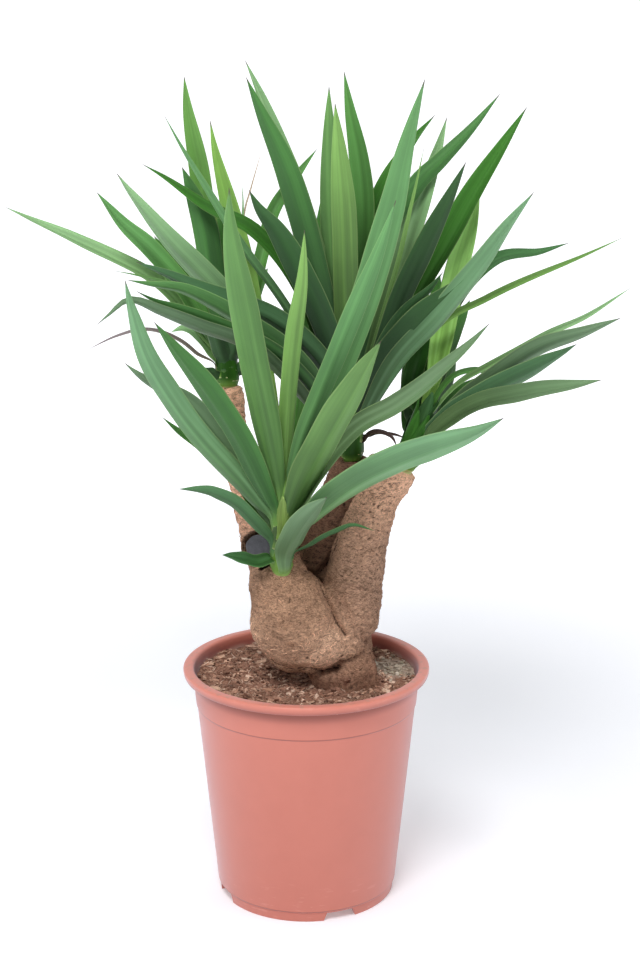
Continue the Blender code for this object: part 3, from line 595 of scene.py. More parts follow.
def make_terracotta():
    material, tree, shader = new_material("terracotta_plastic")
    spot = object_spot(tree)
    height = axes(tree, spot)["Z"]
    pigment = mottle(tree, spot, 9.0, 60.0, *PIGMENT_TONES, contrast=1.6)
    rim = fade(tree, height, BEAD_BOTTOM - 0.002, BEAD_BOTTOM + 0.002)
    # The creases get their painted shade here.
    base = paint_crease_shade(tree, height, blend(tree, rim, pigment["Color"], RIM_TONE))
    scuffs = fade(tree, cloud(tree, flattened(tree, spot, 5.0), 70.0, 6.0), 0.60, 0.70)
    low_wall = fade(tree, height, 0.060, 0.004)
    worn = times(tree, scuffs, maths(tree, "MAXIMUM", times(tree, rim, 0.5), low_wall))
    base = blend(tree, times(tree, worn, 0.30), base, SCUFF_TONE)
    upward = axes(tree, add_node(tree, "NewGeometry").outputs["Normal"])["Z"]
    dust = times(tree, fade(tree, upward, 0.5, 1.0), fade(tree, cloud(tree, spot, 160.0, 5.0), 0.52, 0.66))
    base = blend(tree, times(tree, dust, 0.45), base, DUST_TONE)
    base = blend(tree, times(tree, soiled_mask(tree, spot, height), 0.9), base, SOILED_TONE)
    rough = fade(tree, maths(tree, "ADD", worn, pigment["Value"]), 0.0, 1.6, 0.36, 0.52)
    dress(tree, shader, Base_Color=base, Roughness=rough, Sheen_Weight=0.30, Sheen_Roughness=0.45,
          Sheen_Tint=SHEEN_TONE, Normal=bump(tree, 0.05, 0.0004, cloud(tree, spot, 900.0, 3.0)))
    return material


def finish_piece(piece, material):
    """Gives the piece its one material."""
    piece.data.materials.clear()
    piece.data.materials.append(material)


finish_piece(pot, make_terracotta())
print("Pot finish:", pot.data.materials[0].name)

# %% [markdown]
# ## The soil
# Potting mix is peat, bark chips, fibres and crumbs, pressed level a finger's width below the rim and
# heaped a little against the trunk. The filled body is one spun solid with close rings on top, raised by
# noise. Noise alone looks like a blanket, so thousands of small real crumbs, chips and fibres are laid on
# it.

# %% Soil, the body
SOIL_LEVEL = 0.2200
SOIL_BOTTOM = FOOT_HEIGHT + 0.0065
SOIL_CLEARANCE = 0.0012
SOIL_SURFACE = SOIL_LEVEL - 0.001
ROOT_CENTRE = Vector((0.032, -0.010, 0.0))
ROOT_RADIUS = 0.026
ROOT_DEPTH = 0.085
ROOT_ABOVE_SOIL = 0.010
SOIL_RINGS = 64
SOIL_STEPS = 180
HEAP = 0.0050
HEAP_STARTS = 0.008
HEAP_REACH = 0.030
GRIT_PATCH = Vector((0.086, 0.016, 0.0))
GRIT_REACH = 0.038
GRIT_EDGE = 2.2
PEAT = Vector(colour(146, 109, 92))
GRIT = Vector(colour(182, 166, 152))


def inner_radius(height):
    """The pot's inner radius at this height, where the soil lies against it."""
    low, high = FOOT_HEIGHT + INNER_FLOOR_CORNER, STEP_HEIGHT
    return INNER_FOOT + (height - low) / (high - low) * (STEP_RADIUS - WALL_FOOT_RADIUS)


def bumps(spot, height, pitch, shift=0.0):
    """Smooth random bumps of this height, about this many to the metre."""
    return height * noise.noise(spot * pitch + Vector((shift, 0, 0)))


def soil_height(x, y):
    """The soil's surface: clumps, crumbs and a low heap round the trunk."""
    spot = Vector((x, y, 0.0))
    clumps = bumps(spot, 0.0030, 38) + bumps(spot, 0.0024, 85, shift=7)
    crumbs = abs(bumps(spot, 0.0018, 190)) + bumps(spot, 0.0011, 420)
    away = (spot - ROOT_CENTRE).length - ROOT_RADIUS - HEAP_STARTS
    heap = HEAP * max(0.0, 1 - max(away, 0.0) / HEAP_REACH) ** 2
    return SOIL_LEVEL + clumps + crumbs + heap


def grit_share(spot):
    """How gritty the soil is here: a greenish grey patch lies right of the trunk."""
    away = (spot.xy - GRIT_PATCH.xy).length + bumps(spot, 0.010, 90)
    return max(0.0, min(1.0, GRIT_EDGE * (1 - away / GRIT_REACH)))


soil_edge = inner_radius(SOIL_LEVEL) - SOIL_CLEARANCE
soil_profile = [(soil_edge * ring / SOIL_RINGS, SOIL_LEVEL) for ring in range(SOIL_RINGS + 1)]
soil_profile += [(inner_radius(SOIL_BOTTOM) - SOIL_CLEARANCE, SOIL_BOTTOM), (0.0, SOIL_BOTTOM)]
soil_bm = spun(soil_profile, SOIL_STEPS)
soil_tint = soil_bm.verts.layers.float_color.new("tint")
for vert in soil_bm.verts:
    if vert.co.z > SOIL_SURFACE:
        vert.co.z = soil_height(vert.co.x, vert.co.y)
    vert[soil_tint] = PEAT.lerp(GRIT, grit_share(vert.co))
soil = piece_from(soil_bm, "soil_fill")
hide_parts("soil")
print("Soil:", len(soil.data.polygons), "faces, edge radius", round(soil_edge, 4), "m")

# %% [markdown]
# A crumb is a small ball knocked out of round, a chip is a thin block with its edges taken off, and a fibre
# is a thin spike, straight or bowed. Each shape is made once, with a few dozen faces at most, to be stamped
# hundreds of times. The larger bits of wood that the photograph shows are chips cut finer, so that noise
# can roughen their sides.

# %% Soil, the small shapes
CHIP_EDGE = 0.28
CHUNK_ROUGHNESS = 0.16


def template(make, rough, seed):
    """A small mesh with a tint layer, its vertices knocked about by noise."""
    bm = bmesh.new()
    make(bm)
    for vert in bm.verts:
        vert.co *= 1 + rough * noise.noise(vert.co * 1.7 + Vector((seed, seed, seed)))
    bm.verts.layers.float_color.new("tint")
    return mesh_of(bm, "template")


def make_crumb(bm):
    bmesh.ops.create_icosphere(bm, subdivisions=1, radius=1.0)


def make_chip(bm):
    bmesh.ops.create_cube(bm, size=2.0)
    bmesh.ops.bevel(bm, geom=bm.edges, offset=CHIP_EDGE, offset_type="OFFSET", segments=1, profile=0.5,
                    affect="EDGES", material=-1)


def make_spike(bm, cuts=(0.0,), bow=1.6):
    bmesh.ops.create_cone(bm, cap_ends=True, segments=4, radius1=1.0, radius2=0.25, depth=2.0)
    for height in cuts:
        everything = bm.verts[:] + bm.edges[:] + bm.faces[:]
        bmesh.ops.bisect_plane(bm, geom=everything, plane_co=(0, 0, height), plane_no=(0, 0, 1))
    for vert in bm.verts:
        vert.co.x += bow * (1 - vert.co.z * vert.co.z)


def make_strand(bm):
    make_spike(bm, cuts=(-0.5, 0.0, 0.5), bow=7.0)


def make_chunk(bm):
    make_chip(bm)
    bmesh.ops.subdivide_edges(bm, edges=bm.edges, cuts=2, use_grid_fill=True)
    for vert in bm.verts:
        grain = Vector((vert.co.x * 0.8, vert.co.y * 5, vert.co.z * 5))
        vert.co *= 1 + CHUNK_ROUGHNESS * noise.noise(grain)


TEMPLATES = {
    "crumb": [template(make_crumb, 0.5, seed) for seed in range(5)],
    "chip": [template(make_chip, 0.35, seed) for seed in range(5)],
    "spike": [template(make_spike, 0.2, seed) for seed in range(3)],
    "strand": [template(make_strand, 0.1, seed) for seed in range(3)],
    "chunk": [template(make_chunk, 0.3, 4)],
}
print("Faces of each shape:", {name: len(meshes[0].polygons) for name, meshes in TEMPLATES.items()})

# %% [markdown]
# A kind of litter is how many there are, their shape, their least and their most half sizes, how deep they
# sink, how far they tilt, and their tones. The larger bits of wood are listed one by one, by where the
# photograph shows them.

# %% Soil, kinds of litter
def tones(*screen_colours):
    return [colour(*tone) for tone in screen_colours]


CRUMB_TONES = tones((118, 86, 72), (150, 114, 96), (174, 138, 118), (92, 66, 56), (200, 166, 146))
CHIP_TONES = tones((190, 148, 126), (218, 182, 158), (164, 122, 102), (232, 204, 184), (140, 104, 88))
GRIT_TONES = tones((192, 180, 164), (158, 146, 130), (216, 206, 192), (122, 110, 98), (176, 170, 150))

Litter = namedtuple("Litter", "count shape least most sink tilt tones")
LITTER = [
    Litter(1900, "crumb", (0.0007, 0.0006, 0.0005), (0.0028, 0.0023, 0.0017), 0.15, 0.6, CRUMB_TONES),
    Litter(560, "chip", (0.0014, 0.0008, 0.0003), (0.0056, 0.0026, 0.0008), 0.1, 0.7, CHIP_TONES),
    Litter(1500, "spike", (0.00024, 0.00024, 0.0018), (0.00060, 0.00060, 0.0060), 0.0, 0.7, CHIP_TONES),
    Litter(700, "strand", (0.00016, 0.00016, 0.0020), (0.00030, 0.00030, 0.0060), 0.0, 0.5, CHIP_TONES),
]
Chunk = namedtuple("Chunk", "at size turn tone")
CHUNKS = [
    Chunk((322, 685), (0.0115, 0.0062, 0.0030), 10, (196, 154, 124)),
    Chunk((345, 690), (0.0095, 0.0080, 0.0052), 60, (128, 92, 76)),
    Chunk((253, 648), (0.0062, 0.0036, 0.0014), 20, (206, 168, 148)),
    Chunk((296, 678), (0.0075, 0.0018, 0.0012), 125, (190, 150, 124)),
    Chunk((305, 672), (0.0040, 0.0022, 0.0012), 40, (224, 204, 188)),
    Chunk((230, 668), (0.0050, 0.0030, 0.0012), 75, (188, 148, 126)),
    Chunk((268, 690), (0.0060, 0.0026, 0.0012), 150, (182, 142, 118)),
    Chunk((214, 682), (0.0044, 0.0026, 0.0010), 15, (196, 156, 134)),
]
print("Bits of litter:", sum(litter.count for litter in LITTER) + len(CHUNKS))

# %% [markdown]
# The shapes are stamped at random places, turns and sizes, small ones most often, and take grey tones in
# the gritty patch. The random numbers start from a fixed seed, so the soil is the same each time. A
# particle system would scatter them too, but real copies in one mesh can be exported.

# %% Soil, litter
LITTER_SEED = 11
LONG_SHAPES = ("spike", "strand")
LONG_LIFT = 0.0006
NEAR_WALL = 0.985
NEAR_ROOT = 0.8
CHUNK_LIFT = 0.6
CHUNK_TILT = math.radians(6)
LITTER_SHARP_ANGLE = math.radians(30)


def stamp(bm, mesh, matrix, tint_colour):
    """Adds a moved and tinted copy of a template mesh."""
    known = len(bm.verts)
    bm.from_mesh(mesh)
    bm.verts.ensure_lookup_table()
    tint = bm.verts.layers.float_color["tint"]
    for vert in bm.verts[known:]:
        vert.co = matrix @ vert.co
        vert[tint] = tint_colour


def any_turn(rng, most_tilt):
    """A random turn about Z after a random tilt of up to this many radians."""
    tilt = Matrix.Rotation(rng.uniform(-most_tilt, most_tilt), 4, "X")
    turn = Matrix.Rotation(rng.uniform(0, math.tau), 4, "Z")
    return turn @ tilt @ Matrix.Rotation(rng.uniform(0, math.tau), 4, "Z")


def soil_spot(rng):
    """A random place on the soil, clear of the root."""
    while True:
        angle = rng.uniform(0, math.tau)
        away = soil_edge * math.sqrt(rng.random()) * NEAR_WALL
        spot = Vector((away * math.cos(angle), away * math.sin(angle), 0.0))
        if (spot - ROOT_CENTRE).length > ROOT_RADIUS * NEAR_ROOT:
            return spot


def on_soil(pixel):
    """Where the eye's ray through a pixel meets the soil."""
    ray = seen_at(pixel, 0.0) - EYE
    place = EYE + ray * ((SOIL_LEVEL - EYE.z) / ray.z)
    place.z = soil_height(place.x, place.y)
    return place


def scatter(bm, rng, litter):
    """One random copy of a kind of litter."""
    spot = soil_spot(rng)
    share = rng.random() ** 2
    size = [low + (high - low) * share for low, high in zip(litter.least, litter.most)]
    spot.z = soil_height(spot.x, spot.y) + size[2] * (0.5 - litter.sink)
    is_gritty = rng.random() < grit_share(spot)
    lay = Matrix()
    if litter.shape in LONG_SHAPES:
        lay = Matrix.Rotation(math.pi / 2, 4, "X")
        spot.z = soil_height(spot.x, spot.y) + LONG_LIFT
    matrix = Matrix.Translation(spot) @ any_turn(rng, litter.tilt) @ lay @ Matrix.Diagonal((*size, 1.0))
    shape = rng.choice(TEMPLATES[litter.shape])
    stamp(bm, shape, matrix, rng.choice(GRIT_TONES if is_gritty else litter.tones))


def make_litter():
    rng = random.Random(LITTER_SEED)
    bm = bmesh.new()
    bm.verts.layers.float_color.new("tint")
    for litter in LITTER:
        for _ in range(litter.count):
            scatter(bm, rng, litter)
    for chunk in CHUNKS:
        spot = on_soil(chunk.at) + Vector((0, 0, chunk.size[2] * CHUNK_LIFT))
        turn = Matrix.Rotation(math.radians(chunk.turn), 4, "Z") @ Matrix.Rotation(CHUNK_TILT, 4, "Y")
        matrix = Matrix.Translation(spot) @ turn @ Matrix.Diagonal((*chunk.size, 1.0))
        stamp(bm, TEMPLATES["chunk"][0], matrix, colour(*chunk.tone))
    return piece_from(bm, "soil_litter")


litter = make_litter()
litter.data.set_sharp_from_angle(angle=LITTER_SHARP_ANGLE)
print("Litter:", len(litter.data.polygons), "faces")

# %% [markdown]
# Soil is rough and dull, darker where it is damp. One material serves the body and what lies on it: each
# vertex has a tint, two scales of noise vary it and roughen it, and fine pale fibres run over it.

# %% Soil, finish
DAMP_SHADES = (0.50, 0.46, 0.44, 1.0), (1.25, 1.22, 1.20, 1.0)
SOIL_FIBRE_TONE = colour(196, 160, 134)


def make_soil_finish():
    material, tree, shader = new_material("potting_soil")
    spot = object_spot(tree)
    damp = mottle(tree, spot, 60.0, 420.0, *DAMP_SHADES, fine_share=0.55, contrast=3.0)
    base = blend(tree, 1.0, mark(tree, "tint"), damp["Color"], "MULTIPLY")
    base = blend(tree, times(tree, fibres(tree, spot, 190.0, 0.035), 0.45), base, SOIL_FIBRE_TONE)
    dress(tree, shader, Base_Color=base, Roughness=0.95, Specular_IOR_Level=0.2,
          Normal=bump(tree, 0.8, 0.0012, cloud(tree, spot, 900.0, 5.0)))
    return material


soil_finish = make_soil_finish()
finish_piece(soil, soil_finish)
finish_piece(litter, soil_finish)
print("Soil finish:", soil_finish.name)

# %% [markdown]
# ## The trunk
# A yucca's trunk swells at the foot and forks into arms. Here it has a bulge in front, a stout right arm
# with a flare of root at its foot, a middle and a left arm behind, and a short stub at the front left. Each
# limb is a tube through a few knots, given by where the photograph shows them, their depth and their
# radius. The low side of the bulge, the web between it and the right arm, and the roots in front are short
# limbs of their own.

# %% Trunk, limbs
Knot = namedtuple("Knot", "at depth radius")
LIMB_ROWS = {
    "bulge": [
        ((301, 655), -0.026, 0.0190), ((298, 645), -0.030, 0.0310), ((294, 624), -0.034, 0.0400),
        ((288, 604), -0.034, 0.0375), ((281, 588), -0.033, 0.0310), ((277, 575), -0.028, 0.0265),
        ((275, 562), -0.010, 0.0205),
    ],
    "bulge_low": [
        ((276, 630), -0.026, 0.0260), ((290, 637), -0.032, 0.0300), ((308, 640), -0.034, 0.0300),
        ((322, 641), -0.032, 0.0275), ((330, 643), -0.026, 0.0220),
    ],
    "web": [
        ((318, 590), -0.024, 0.0130), ((329, 608), -0.026, 0.0180), ((338, 630), -0.027, 0.0195),
        ((344, 652), -0.026, 0.0190),
    ],
    "roots": [
        ((314, 680), -0.030, 0.0120), ((326, 678), -0.032, 0.0160), ((338, 680), -0.030, 0.0190),
    ],
    "right": [
        ((351, 638), -0.012, 0.0140), ((351, 627), -0.013, 0.0235), ((352, 610), -0.014, 0.0270),
        ((353, 588), -0.013, 0.0275), ((357, 558), -0.008, 0.0265), ((366, 528), -0.004, 0.0230),
        ((376, 502), 0.000, 0.0205), ((388, 478), 0.002, 0.0220), ((395, 456), 0.003, 0.0230),
    ],
    "flare": [
        ((344, 712), -0.024, 0.0400), ((349, 692), -0.026, 0.0310), ((350, 676), -0.022, 0.0265),
        ((348, 652), -0.012, 0.0230), ((347, 626), -0.004, 0.0220),
    ],
    "middle": [
        ((330, 690), 0.016, 0.0270), ((325, 650), 0.020, 0.0270), ((318, 600), 0.026, 0.0290),
        ((323, 548), 0.032, 0.0235), ((337, 503), 0.034, 0.0185), ((350, 470), 0.034, 0.0185),
        ((351, 459), 0.033, 0.0150),
    ],
    "left": [
        ((304, 655), 0.014, 0.0200), ((300, 640), 0.018, 0.0300), ((280, 580), 0.020, 0.0270),
        ((262, 530), 0.030, 0.0215), ((247, 484), 0.042, 0.0170), ((231, 440), 0.052, 0.0160),
        ((229, 408), 0.054, 0.0140), ((228, 388), 0.054, 0.0125),
    ],
    "stub": [
        ((283, 562), 0.000, 0.0180), ((269, 551), -0.022, 0.0165), ((254, 547), -0.052, 0.0165),
    ],
}
TRUNK_LIMBS = {name: [Knot(*row) for row in rows] for name, rows in LIMB_ROWS.items()}
print("Knots:", sum(len(limb) for limb in TRUNK_LIMBS.values()))

# %% [markdown]
# A tube is a circle that is extruded from station to station along a smooth path. The same tube serves the
# limbs, the stems, the scales and the blades, because the place of each vertex is left to the caller: from
# the station and the vertex's angle round the circle. A curve with a bevel would be shorter to write, but
# it can only be round.

# %% Paths and tubes
def smooth_path(points, per_span=6):
    """A Catmull-Rom path through the points, as closely spaced points."""
    ends = [points[0] * 2 - points[1], *points, points[-1] * 2 - points[-2]]
    path = []
    for a, b, c, d in zip(ends, ends[1:], ends[2:], ends[3:]):
        for step in range(per_span):
            t = step / per_span
            bend = (2 * a - 5 * b + 4 * c - d) * t**2 + (3 * b - a - 3 * c + d) * t**3
            path.append(0.5 * (2 * b + (c - a) * t + bend))
    return path + [points[-1]]


def eased(share):
    """A share from 0 to 1 that starts and ends gently."""
    share = max(0.0, min(1.0, share))
    return share * share * (3 - 2 * share)


def of_kind(kind, parts):
    return [part for part in parts if isinstance(part, kind)]


def skin(bm, sides, stations, place):
    """Adds a closed tube: a circle extruded from station to station, where place(station, angle) gives each
    vertex its position and its marks. It grows in a bmesh of its own, as an operator's cost rises with the
    mesh that it works on."""
    tube = bmesh.new()
    around = tube.verts.layers.float.new("around")
    marks = {name: tube.verts.layers.float_vector.new(name) for name in bm.verts.layers.float_vector.keys()}
    for name in bm.verts.layers.float_color.keys():
        marks[name] = tube.verts.layers.float_color.new(name)
    ring = bmesh.ops.create_circle(tube, cap_ends=False, segments=sides, radius=1.0)["verts"]
    for vert in ring:
        vert[around] = math.atan2(vert.co.y, vert.co.x)
    edges = first_edges = tube.edges[:]
    for index, station in enumerate(stations):
        for vert in ring:
            vert.co, values = place(station, vert[around])
            for name, value in values.items():
                vert[marks[name]] = value
        if index < len(stations) - 1:
            grown = bmesh.ops.extrude_edge_only(tube, edges=edges)["geom"]
            edges, ring = of_kind(bmesh.types.BMEdge, grown), of_kind(bmesh.types.BMVert, grown)
    for end in (first_edges, edges):
        bmesh.ops.edgeloop_fill(tube, edges=end)
    bmesh.ops.recalc_face_normals(tube, faces=tube.faces)
    tube.verts.layers.float.remove(around)
    mesh = mesh_of(tube, "tube")
    bm.from_mesh(mesh)
    bpy.data.meshes.remove(mesh)


bent_path = smooth_path([Vector((0, 0, 0)), Vector((0, 0, 1)), Vector((0, 1, 2))])
print("A smooth path through 3 points has", len(bent_path), "points")

# %% [markdown]
# Sculpting the trunk would work too, but tubes keep it where the frame has it. They are cut level at the
# soil, the root is added as a plug that goes down into it, and a voxel remesh grows them all into one skin.

# %% Trunk, grown
LIMB_SIDES = 32
ROOT_SIDES = 48
LIMB_SPACING = 8
TRUNK_VOXEL = 0.0016
TRUNK_SOFTENING = 6
TRUNK_FOOT = SOIL_LEVEL - 0.006


def limb_path(limb, per_span=LIMB_SPACING):
    """Closely spaced (place, radius) pairs along a limb."""
    places = smooth_path([seen_at(knot.at, knot.depth) for knot in limb], per_span)
    radii = smooth_path([Vector((knot.radius, 0, 0)) for knot in limb], per_span)
    return [(place, radius.x) for place, radius in zip(places, radii)]


def add_limb(bm, limb):
    path = limb_path(limb)

    def place(station, angle):
        centre, radius = path[station]
        heading = (path[min(station + 1, len(path) - 1)][0] - path[max(station - 1, 0)][0]).normalized()
        side = heading.cross(FORWARD).normalized()
        return centre + (side * math.cos(angle) + side.cross(heading) * math.sin(angle)) * radius, {}

    skin(bm, LIMB_SIDES, range(len(path)), place)


def add_root(bm):
    height = ROOT_DEPTH + ROOT_ABOVE_SOIL
    middle = ROOT_CENTRE + Vector((0, 0, SOIL_LEVEL - ROOT_DEPTH + height / 2))
    bmesh.ops.create_cone(bm, cap_ends=True, segments=ROOT_SIDES, radius1=ROOT_RADIUS, radius2=ROOT_RADIUS,
                          depth=height, matrix=Matrix.Translation(middle))


def grow_trunk():
    """The limbs, level at the foot, and the root, remeshed into one skin."""
    bm = bmesh.new()
    for limb in TRUNK_LIMBS.values():
        add_limb(bm, limb)
    everything = bm.verts[:] + bm.edges[:] + bm.faces[:]
    cut = bmesh.ops.bisect_plane(bm, geom=everything, plane_co=(0, 0, TRUNK_FOOT), plane_no=(0, 0, -1),
                                 clear_outer=True)["geom_cut"]
    bmesh.ops.holes_fill(bm, edges=of_kind(bmesh.types.BMEdge, cut))
    add_root(bm)
    rough = piece_from(bm, "rough_trunk")
    grown = rough.modifiers.new("grown", "REMESH")
    grown.mode = "VOXEL"
    grown.voxel_size = TRUNK_VOXEL
    soft = rough.modifiers.new("soft", "SMOOTH")
    soft.iterations = TRUNK_SOFTENING
    mesh = applied(rough)
    bpy.data.objects.remove(rough)
    bm = bmesh.new()
    bm.from_mesh(mesh)
    return bm


trunk_bm = grow_trunk()
print("Trunk:", len(trunk_bm.verts), "vertices")

# %% [markdown]
# Two arms were sawn through. Each cut is a plane that clips only the mesh close to it, so that the same
# plane doesn't slice the other limbs. Dictionaries hold what is near instead of sets, because they keep its
# order, and so each run cuts the same way. The open loop that is left becomes the flat sawn face.

# %% Trunk, saw cuts
Saw = namedtuple("Saw", "at depth faces reach wax_at wax_depth wax_radius")
SAWS = {
    "wax_front": Saw((258, 547.5), -0.044, Vector((-0.22, -0.97, 0.08)), 0.021, (259, 547.5), -0.044, 0.0125),
    "wax_right": Saw((393, 466), 0.003, Vector((0.43, -0.06, 0.90)), 0.034, (382.5, 460.5), -0.003, 0.0105),
}
SAWN_OFF_LENGTH = 0.040
SAW_MARGIN = 0.004


def saw_plane(saw):
    """A point on the sawn face and the way it faces."""
    return seen_at(saw.at, saw.depth), saw.faces.normalized()


def saw_through(bm, saw):
    face, normal = saw_plane(saw)

    def is_near(vert):
        along = (vert.co - face).dot(normal)
        aside = (vert.co - face - normal * along).length
        return -SAW_MARGIN < along < SAWN_OFF_LENGTH and aside < saw.reach

    near = dict.fromkeys(vert for vert in bm.verts if is_near(vert))
    touched = dict.fromkeys(part for vert in near for part in vert.link_faces)
    faces = [part for part in touched if all(corner in near for corner in part.verts)]
    edges = dict.fromkeys(edge for part in faces for edge in part.edges)
    verts = dict.fromkeys(vert for part in faces for vert in part.verts)
    cut = bmesh.ops.bisect_plane(bm, geom=[*verts, *edges, *faces], plane_co=face, plane_no=normal,
                                 clear_outer=True)["geom_cut"]
    loose = [edge for edge in of_kind(bmesh.types.BMEdge, cut) if edge.is_valid and edge.is_boundary]
    filled = bmesh.ops.holes_fill(bm, edges=loose)["faces"]
    bmesh.ops.triangulate(bm, faces=filled)
    print("Sawn face filled from", len(loose), "edges")


for saw in SAWS.values():
    saw_through(trunk_bm, saw)
bmesh.ops.recalc_face_normals(trunk_bm, faces=trunk_bm.faces)

# %% [markdown]
# The bark is corky: broad lumps, fine strands and pits, upright ribs at the foot, and rings round the arms
# where leaves once grew. Each vertex is pushed out along its normal by a sum of noises. The rings need to
# know how far along a limb a vertex lies, which a search tree over the limbs' paths answers. Noise that gives
# a vector is shifted by random amounts that start from the clock, so it is given a seed, and then each run
# grows the same bark.

# %% Trunk, relief
NOISE_SEED = 3
RING_SPACING = 0.0075
RING_HEIGHT = 0.0007
RING_WANDER = 1.1
STRAND_HEIGHT = 0.0009
UPRIGHT = 0.12
SAWN_SKIN = 0.0006
ARMS = ("right", "middle", "left", "stub")
FOOT = ("flare", "roots")


def limb_tree():
    """A search tree over the limbs' paths, and for each of its points the limb's name and length there."""
    marks = []
    for name, limb in TRUNK_LIMBS.items():
        length, previous = 0.0, None
        for place, radius in limb_path(limb, 2 * LIMB_SPACING):
            length += (place - previous).length if previous else 0.0
            previous = place
            marks.append((place, name, length))
    tree = kdtree.KDTree(len(marks))
    for index, row in enumerate(marks):
        tree.insert(row[0], index)
    tree.balance()
    return tree, marks


def is_sawn(place):
    """Whether a place lies on one of the flat sawn faces."""
    for saw in SAWS.values():
        face, normal = saw_plane(saw)
        if abs((place - face).dot(normal)) < SAWN_SKIN and (place - face).length < saw.reach:
            return True
    return False


def relief(place, name, length):
    """How far the bark stands out of the smooth limb here."""
    warp = noise.noise_vector(place * 34) * 0.010
    lumps = bumps(place, 0.0022, 26) + bumps(place, 0.0015, 62, shift=3)
    strands = STRAND_HEIGHT * (1 - 2 * abs(noise.noise((place + warp) * 150)))
    if name in FOOT:
        upright = Vector((place.x, place.y, place.z * UPRIGHT))
        lumps += bumps(upright, 0.0022, 110) + bumps(upright, 0.0012, 260)
    rings = 0.0
    if name in ARMS:
        phase = length / RING_SPACING + RING_WANDER * noise.noise(place * 45)
        rings = RING_HEIGHT * (abs(math.sin(math.pi * phase)) - 0.6)
    return lumps + strands + bumps(place, 0.0004, 320) + rings


noise.seed_set(NOISE_SEED)
knot = TRUNK_LIMBS["right"][3]
print("Relief on the right arm:", round(1000 * relief(seen_at(knot.at, knot.depth), "right", 0.0), 2), "mm")

# %% [markdown]
# Where limbs meet there are deep creases, which the finish darkens with painted shade. Those that the
# photograph shows are polylines of pixels, and what is seen close to one is pressed away from the viewer, not
# along its own normal: in the narrow angle between two limbs the normals point at one another, and would
# close the crease instead.

# %% Trunk, creases
CREASES = [
    [(304, 571), (311, 574), (317, 577), (321, 588), (326, 600), (331, 611), (337, 624), (344, 634)],
    [(319, 574), (329, 562), (336, 546), (341, 524)],
    [(264, 655), (276, 664), (292, 669), (308, 668), (322, 671), (338, 668)],
]
CREASE_REACH_PX = 5.4
CREASE_DEPTH = 0.0075
CREASE_SHAPE = 1.5
CREASE_FRONT = 0.010
FACES_VIEWER = 0.2
ROOT_MARGIN = 0.004


def distance_to(line, pixel):
    """How far a pixel lies from a polyline of pixels."""
    best = math.inf
    point = Vector(pixel)
    for start, end in zip(line, line[1:]):
        a, b = Vector(start), Vector(end)
        share = max(0.0, min(1.0, (point - a).dot(b - a) / (b - a).length_squared))
        best = min(best, (a.lerp(b, share) - point).length)
    return best


def shape_bark(bm):
    """Moves each vertex by its relief, presses the creases in and tells how deep in one each vertex lies."""
    tree, marks = limb_tree()
    bm.normal_update()
    crack, moves = {}, {}
    for vert in bm.verts:
        if vert.co.z < TRUNK_FOOT - ROOT_MARGIN or is_sawn(vert.co):
            continue
        _, name, length = marks[tree.find(vert.co)[1]]
        moves[vert] = vert.normal * relief(vert.co, name, length)
        if vert.co.y < CREASE_FRONT and vert.normal.dot(FORWARD) < FACES_VIEWER:
            seen = pixel_of(vert.co + moves[vert])
            near = min(distance_to(line, seen) for line in CREASES)
            crack[vert] = max(0.0, 1 - near / CREASE_REACH_PX) ** CREASE_SHAPE
            moves[vert] += FORWARD * CREASE_DEPTH * crack[vert]
    for vert, move in moves.items():
        vert.co += move
    bm.normal_update()
    return crack


crack = shape_bark(trunk_bm)
print("Vertices in a crease:", sum(1 for depth in crack.values() if depth > 0))

# %% [markdown]
# The colour follows the limbs: the bulge is tan, the middle arm lies in the shade, which is painted into its
# dark tone, and the right and the left arm get paler upwards, where the bark is young. Each vertex keeps a
# tint, blended softly from limb to limb, and how hollow its place is: how far its neighbours stand above it,
# or how deep it lies in a crease. By that mark the finish paints shade into hollows and a highlight on what
# stands proud.

# %% Trunk, tints and hollows
LIMB_TONES = {
    "bulge": colour(161, 126, 101), "bulge_low": colour(224, 184, 156), "right": colour(160, 127, 105),
    "web": colour(160, 124, 100), "roots": colour(124, 90, 74), "flare": colour(140, 104, 84),
    # The middle arm's dark tone is painted shade.
    "middle": colour(124, 92, 74), "left": colour(166, 130, 108), "stub": colour(160, 126, 104),
}
TONE_REACH = 0.006
PALE_ABOVE = {"right": 0.33, "left": 0.30}
PALE_RISE = 0.10
PALER = 0.90
LEVEL_HOLLOW = 0.5
HOLLOW_GAIN = 1.6
CRACK_LEAST, CRACK_SPAN, CRACK_GAIN = 0.45, 0.55, 1.8


def limb_tone(place, paths):
    """The bark's colour: that of the limb whose surface is nearest, blended softly into its neighbours'."""
    depths = {}
    for name, path in paths.items():
        depths[name] = min((place - centre).length - radius for centre, radius in path)
    nearest = min(depths.values())
    weights = {name: math.exp((nearest - depth) / TONE_REACH) for name, depth in depths.items()}
    total = Vector((0, 0, 0, 0))
    for name, weight in weights.items():
        paler = PALER * eased((place.z - PALE_ABOVE[name]) / PALE_RISE) if name in PALE_ABOVE else 0.0
        total += Vector(LIMB_TONES[name]) * (1 + paler) * weight
    return total / sum(weights.values())


def hollow_of(vert, pressed):
    """How hollow the place of a vertex is, where 0 stands proud, 0.5 is level and 1 is deep."""
    ring = [edge.other_vert(vert).co for edge in vert.link_edges]
    middle = sum(ring, Vector()) / len(ring)
    curve = (middle - vert.co).dot(vert.normal) / TRUNK_VOXEL
    # A vertex in a crease is marked deep, so that the finish paints it with shade.
    creased = CRACK_LEAST + CRACK_SPAN * min(1.0, CRACK_GAIN * pressed) if pressed else 0.0
    return max(min(1.0, LEVEL_HOLLOW + HOLLOW_GAIN * curve), creased)


